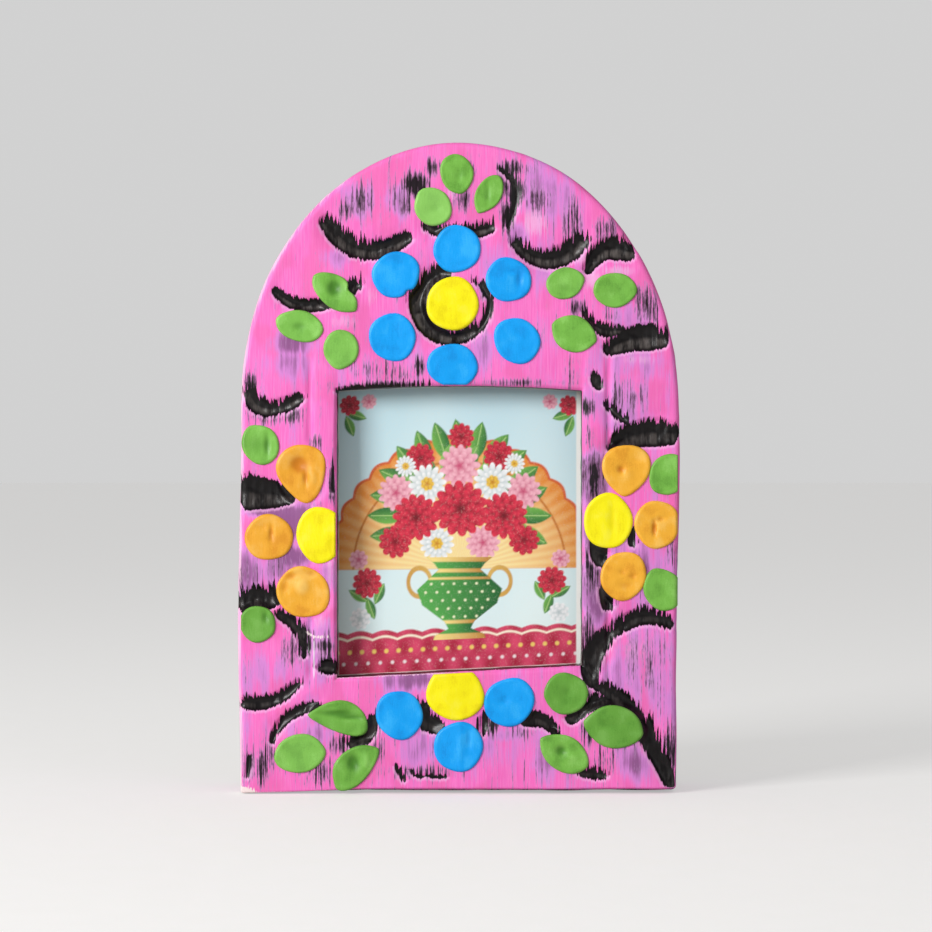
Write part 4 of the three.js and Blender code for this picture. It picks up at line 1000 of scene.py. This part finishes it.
def sawn_pine():
    """Pale pine sawn beside the heart: the yearly rings, about 2 mm apart, show as nested arches, each fading up to
    a dark late line; fine pores and saw fuzz; where paint_over is high, black with dragged pink covers it."""
    m = Finish("sawn pine with painted sides")
    warp = m.noise(m.place, (0.10, 0.10, 0.025), detail=3.0)
    pores = m.noise(m.place, (4.0, 4.0, 0.22), detail=3.0)
    fuzz = m.noise(m.place, (1.2, 6.0, 5.0))
    heart = put(m.tree, "ShaderNodeMapping", {"Vector": m.place, "Location": (6 * MM, 0.0, -24 * MM),
                                              "Scale": (1.0, 0.0, 0.24)})
    radius = put(m.tree, "ShaderNodeVectorMath", {0: heart.outputs[0]}, operation="LENGTH").outputs["Value"]
    year = m.math("FRACT", m.total(0.0, (warp, 2.6), (radius, RINGS_PER_M)))
    late = m.times(m.ramp(year, 0.25, 0.86), m.ramp(year, 0.9, 1.0, 1.0, 0.0))
    toward_back = put(m.tree, "ShaderNodeSeparateXYZ", {0: m.place}).outputs["Y"]
    brush = put(m.tree, "ShaderNodeCombineXYZ", {"X": m.fact("edge_run"), "Y": toward_back}).outputs[0]
    streak = m.noise(brush, (1.7, 0.16, 1.0), detail=3.0)
    black = m.ramp(m.total(m.fact("paint_over"), (pores, 0.9)), 0.85, 1.0)
    pink = m.ramp(m.total(m.fact("pink_over"), (streak, 1.8)), 1.28, 1.40)
    dragged = m.coats("#b765a8", (m.ramp(streak, 0.35, 0.7), "#f070be"))
    colour = m.coats("#e2c295", (late, "#bf9160"), (m.ramp(pores, 0.52, 0.72, 0.0, 0.45), "#946a3f"),
                     (m.ramp(fuzz, 0.5, 0.8, 0.0, 0.3), "#ead2aa"), (black, "#151013"), (pink, dragged))
    height = m.total(pores, (fuzz, 0.8), (late, 0.25))
    return m.surface(colour, m.ramp(black, 0.0, 1.0, 0.72, 0.42), (height, 0.5, 0.08))

# %% Rows of the board
board_inset = inset[::2]
board_edge = outline[::2] - board_inset * (HALF - board_high[0])
board_edge[:, 1] = np.maximum(board_edge[:, 1], 0.0)
board_middle = np.array([0.0, MIDDLE_Z])
edge_run = np.interp(angles, fine, walk) - np.interp(np.pi / 2, fine, walk)  # along the outline, from the top
edge_run = ((edge_run + walk[-1] / 2) % walk[-1] - walk[-1] / 2)[::2]
board_profile = [(reach, SEAM) for reach in (0.02, 0.5, 0.9, 0.996)]  # share of the way to the edge, and y
board_profile += [(1.0, y) for y in np.linspace(SEAM + 0.12, BACK - 0.5, 12)]
board_profile += [(0.996, BACK - 0.2), (0.988, BACK - 0.04), (0.97, BACK)]
board_profile += [(reach, BACK) for reach in np.linspace(0.94, 0.02, 22)]
board_rows, paint_over, pink_over = [], [], []
for reach, y in board_profile:
    flat = board_middle + (board_edge - board_middle) * reach
    sawn = 0.06 * np.abs(ripple(flat[:, 0] + 0.4 * y, flat[:, 1] + 3 * y, 4, 41)) * (reach > 0.99)
    rough = 0.03 * (ripple(flat[:, 0], flat[:, 1], 6, 43) - 1) * (y > BACK - 0.1)
    flat = flat - board_inset * sawn[:, None]
    board_rows.append(np.column_stack([flat[:, 0], y + rough, flat[:, 1]]))
    paint_over.append((y == SEAM) + ease(reach, 0.9, 0.995) + 0.12 * ripple(flat[:, 0], flat[:, 1], 7, 47))
    pink_over.append((0.75 - 0.5 * (y - SEAM) / (BACK - SEAM)) * (reach > 0.98) + 0 * sawn)
board = add_piece("pine_back_board", np.stack(board_rows), *tube(len(board_rows), len(board_edge)), "back_board",
                  "bare_wood", sawn_pine(), {"paint_over": np.stack(paint_over), "pink_over": np.stack(pink_over),
                                             "edge_run": np.tile(edge_run * MM, (len(board_rows), 1))})
print(board.name, len(board.data.polygons), "faces")

# %% [markdown]
# ## Nails and hanging loop
# Four small nails hold the board, and a bent wire hangs the shrine on a wall. A nail is a profile
# turned about its axis, its head dented by the hammer. The wire is a circle carried along a path,
# which keeps it equally thick round every bend. A Screw modifier and a bevelled curve could make
# both, but arrays let the dents in.

# %% Nails of drawn steel
NAIL_AROUND, SHANK, TIP = 40, 0.6, 0.02


def drawn_steel():
    """Bright drawn wire with a thin dull film: lengthwise scratches, darker patches and a broken shine."""
    m = Finish("drawn steel wire with a dull film")
    film = m.noise(m.place, (0.9, 0.9, 0.9), detail=4.0)
    scratch = m.noise(m.place, (9.0, 9.0, 1.5))
    colour = m.coats("#dcdddc", (m.ramp(film, 0.4, 0.65), "#a5a19b"))
    return m.surface(colour, m.ramp(film, 0.35, 0.7, 0.26, 0.5), (m.total(film, (scratch, 0.5)), 0.3, 0.04),
                     {"Metallic": 1.0})


STEEL = drawn_steel()
nail_turn = circle(NAIL_AROUND)
for number in (1, 2, 3, 4):
    low, high = box_mm(f"brad_{number}")
    middle, head = (low + high) / 2, (high[0] - low[0]) / 2
    point, top = low[1], high[1]
    nail_profile = np.array([  # radius and y
        (TIP, point), (0.25, point + 0.5), (0.55, point + 1.3), (SHANK, point + 1.6), (SHANK, BACK - 1),
        (SHANK, BACK + 0.02), (head - 0.2, BACK + 0.02), (head, BACK + 0.14), (head, top - 0.2),
        (head - 0.12, top - 0.05), (head * 0.75, top), (head * 0.4, top), (TIP, top)])
    radius = nail_profile[:, :1] * (1 + 0.02 * np.sin(3 * nail_turn + number))
    height = nail_profile[:, 1:] + 0 * nail_turn
    nail_x, nail_z = middle[0] + radius * np.cos(nail_turn), middle[2] + radius * np.sin(nail_turn)
    hammered = 0.06 * np.clip(ripple(nail_x, nail_z, 1.3, 60 + number), 0, 1) * (height > top - 0.1)
    add_piece(f"nail_{number}", np.dstack([nail_x, height - hammered, nail_z]),
              *tube(len(nail_profile), NAIL_AROUND), f"brad_{number}", "steel", STEEL)
print(number, "nails")

# %% The wire's path: into the board, a bend, up, over and down again
WIRE_RADIUS, BEND_RADIUS, LOOP_STRAIGHT, WIRE_AROUND = 0.6, 1.0, 4.0, 20
loop_low, loop_high = box_mm("hanging_loop")
loop_half, loop_y = loop_high[0] - WIRE_RADIUS, loop_high[1] - WIRE_RADIUS
bow_z = loop_high[2] - WIRE_RADIUS - loop_half
foot_z = bow_z - LOOP_STRAIGHT - BEND_RADIUS
quarter, arc = np.linspace(0, np.pi / 2, 9), np.linspace(0, np.pi, 40)
leg_y = np.linspace(loop_low[1], loop_y - BEND_RADIUS, 6)[:-1]
rise_z = np.linspace(foot_z + BEND_RADIUS, bow_z, 10)[1:-1]
up = np.concatenate([
    np.column_stack([0 * leg_y, leg_y, 0 * leg_y + foot_z]),
    np.column_stack([0 * quarter, loop_y - BEND_RADIUS + BEND_RADIUS * np.sin(quarter),
                     foot_z + BEND_RADIUS * (1 - np.cos(quarter))]),
    np.column_stack([0 * rise_z, 0 * rise_z + loop_y, rise_z])])
bow = np.column_stack([loop_half * np.cos(arc), 0 * arc + loop_y, bow_z + loop_half * np.sin(arc)])
wire_path = np.concatenate([up + [loop_half, 0, 0], bow, up[::-1] - [loop_half, 0, 0]])
print(f"wire {np.linalg.norm(np.diff(wire_path, axis=0), axis=1).sum():.1f} mm long")

# %% A circle carried along the path
ahead = unit(np.gradient(wire_path, axis=0))
in_leg = np.abs(ahead[:, :1]) < 0.02  # a leg runs straight back and up, and only the bow runs across
across = unit(np.cross(ahead, np.where(in_leg, [1.0, 0, 0], [0, 1.0, 0])))
other = np.cross(ahead, across)
turn = circle(WIRE_AROUND)[None, :, None]
dented = WIRE_RADIUS * (1 - 0.02 * np.abs(np.sin(np.arange(len(wire_path)) * 0.9)))[:, None, None]
wire = wire_path[:, None] + dented * (across[:, None] * np.cos(turn) + other[:, None] * np.sin(turn))
add_piece("wire_loop", wire, *tube(len(wire_path), WIRE_AROUND), "hanging_loop", "steel", STEEL)
print("wire of", len(wire_path), "rings")

# %% [markdown]
# ## The studio
# A pale paper floor, a soft square light from the left as on the original, a weak one from the
# right, and an even sky. A bare bulb would cut hard shadows; a broad light lets the carving show
# softly. The camera looks straight at the front from about a third of a metre.

# %% Floor
FLOOR_AROUND, FLOOR_GLOW, FLOOR_DROP = 96, 0.42, 0.02


def pale_paper(glow):
    """Matt studio paper with a faint tooth; seen directly it glows a little, so it looks pale, but lights nothing."""
    m = Finish("pale studio paper")
    tooth = m.noise(m.place, (0.25, 0.25, 0.25), detail=4.0)
    m.surface(m.coats("#c4c2bf", (tooth, "#cac8c5")), 0.9, (tooth, 0.15, 0.1))
    seen = put(m.tree, "ShaderNodeLightPath").outputs["Is Camera Ray"]
    shining = put(m.tree, "ShaderNodeEmission", {"Color": "#ffffff", "Strength": m.total(0.0, (seen, glow))})
    both = put(m.tree, "ShaderNodeAddShader", {0: m.shader.outputs[0], 1: shining.outputs[0]})
    feed(m.tree, m.tree.nodes["Material Output"], {"Surface": both.outputs[0]})
    return m.material


floor_turn = circle(FLOOR_AROUND)
floor_reach = np.array([0.001, 0.05, 0.1, 0.2, 0.4, 0.8, 1.6, 3.2, 6.0])[:, None]  # metres
floor_points = np.dstack([floor_reach * np.cos(floor_turn), floor_reach * np.sin(floor_turn),
                          0 * floor_reach * floor_turn - FLOOR_DROP * MM])
floor_faces, (floor_middle, _) = tube(len(floor_reach), FLOOR_AROUND)
floor = new_object("paper_floor", floor_points.reshape(-1, 3), floor_faces.tolist() + [list(floor_middle)[::-1]],
                   pale_paper(FLOOR_GLOW))
print(floor.name, len(floor_faces), "faces")

# %% Sky
SKY_LIGHT, ROOM_SHINE, BACKDROP = 0.40, 0.06, 0.64  # what lights the shrine, what it mirrors, what the camera sees
world = bpy.data.worlds.new("even pale sky")
bpy.context.scene.world = world
world.use_nodes = True
sky = world.node_tree
rays = put(sky, "ShaderNodeLightPath").outputs
light = sky.nodes["Background"]
feed(sky, light, {"Color": "#ffffff", "Strength": SKY_LIGHT})
dim, pale = (put(sky, "ShaderNodeBackground", {"Color": "#ffffff", "Strength": strength})
             for strength in (ROOM_SHINE, BACKDROP))
shine = put(sky, "ShaderNodeMixShader", {0: rays["Is Glossy Ray"], 1: light.outputs[0], 2: dim.outputs[0]})
either = put(sky, "ShaderNodeMixShader", {0: rays["Is Camera Ray"], 1: shine.outputs[0], 2: pale.outputs[0]})
feed(sky, sky.nodes["World Output"], {"Surface": either.outputs[0]})
print(world.name, len(sky.nodes), "nodes")

# %% Lights and camera
TARGET = Vector((0.0, 0.0, 0.038))
CAMERA_DISTANCE, VIEW_WIDTH, SENSOR = 0.320, 0.1085, 36.0


def soft_light(name, place, size, power):
    """A square lamp that faces the shrine."""
    data = bpy.data.lights.new(name, "AREA")
    data.size, data.energy = size, power
    lamp = bpy.data.objects.new(name, data)
    lamp.location = place
    lamp.rotation_euler = (TARGET - Vector(place)).to_track_quat("-Z", "Y").to_euler()
    bpy.context.collection.objects.link(lamp)


soft_light("soft key from the left", (-0.36, -0.36, 0.20), 0.2, 2.4)
soft_light("weak fill from the right", (0.45, -0.45, 0.25), 0.4, 0.35)
camera_data = bpy.data.cameras.new("camera")
camera_data.sensor_width = SENSOR
camera_data.lens = SENSOR * CAMERA_DISTANCE / VIEW_WIDTH
camera = bpy.data.objects.new("camera", camera_data)
camera.location = (0.00076, FACE * MM - CAMERA_DISTANCE, 0.0382)
camera.rotation_euler = (np.pi / 2, 0, 0)
bpy.context.collection.objects.link(camera)
bpy.context.scene.camera = camera
bpy.context.scene.view_settings.view_transform = "Standard"
print(f"lens {camera_data.lens:.1f} mm")
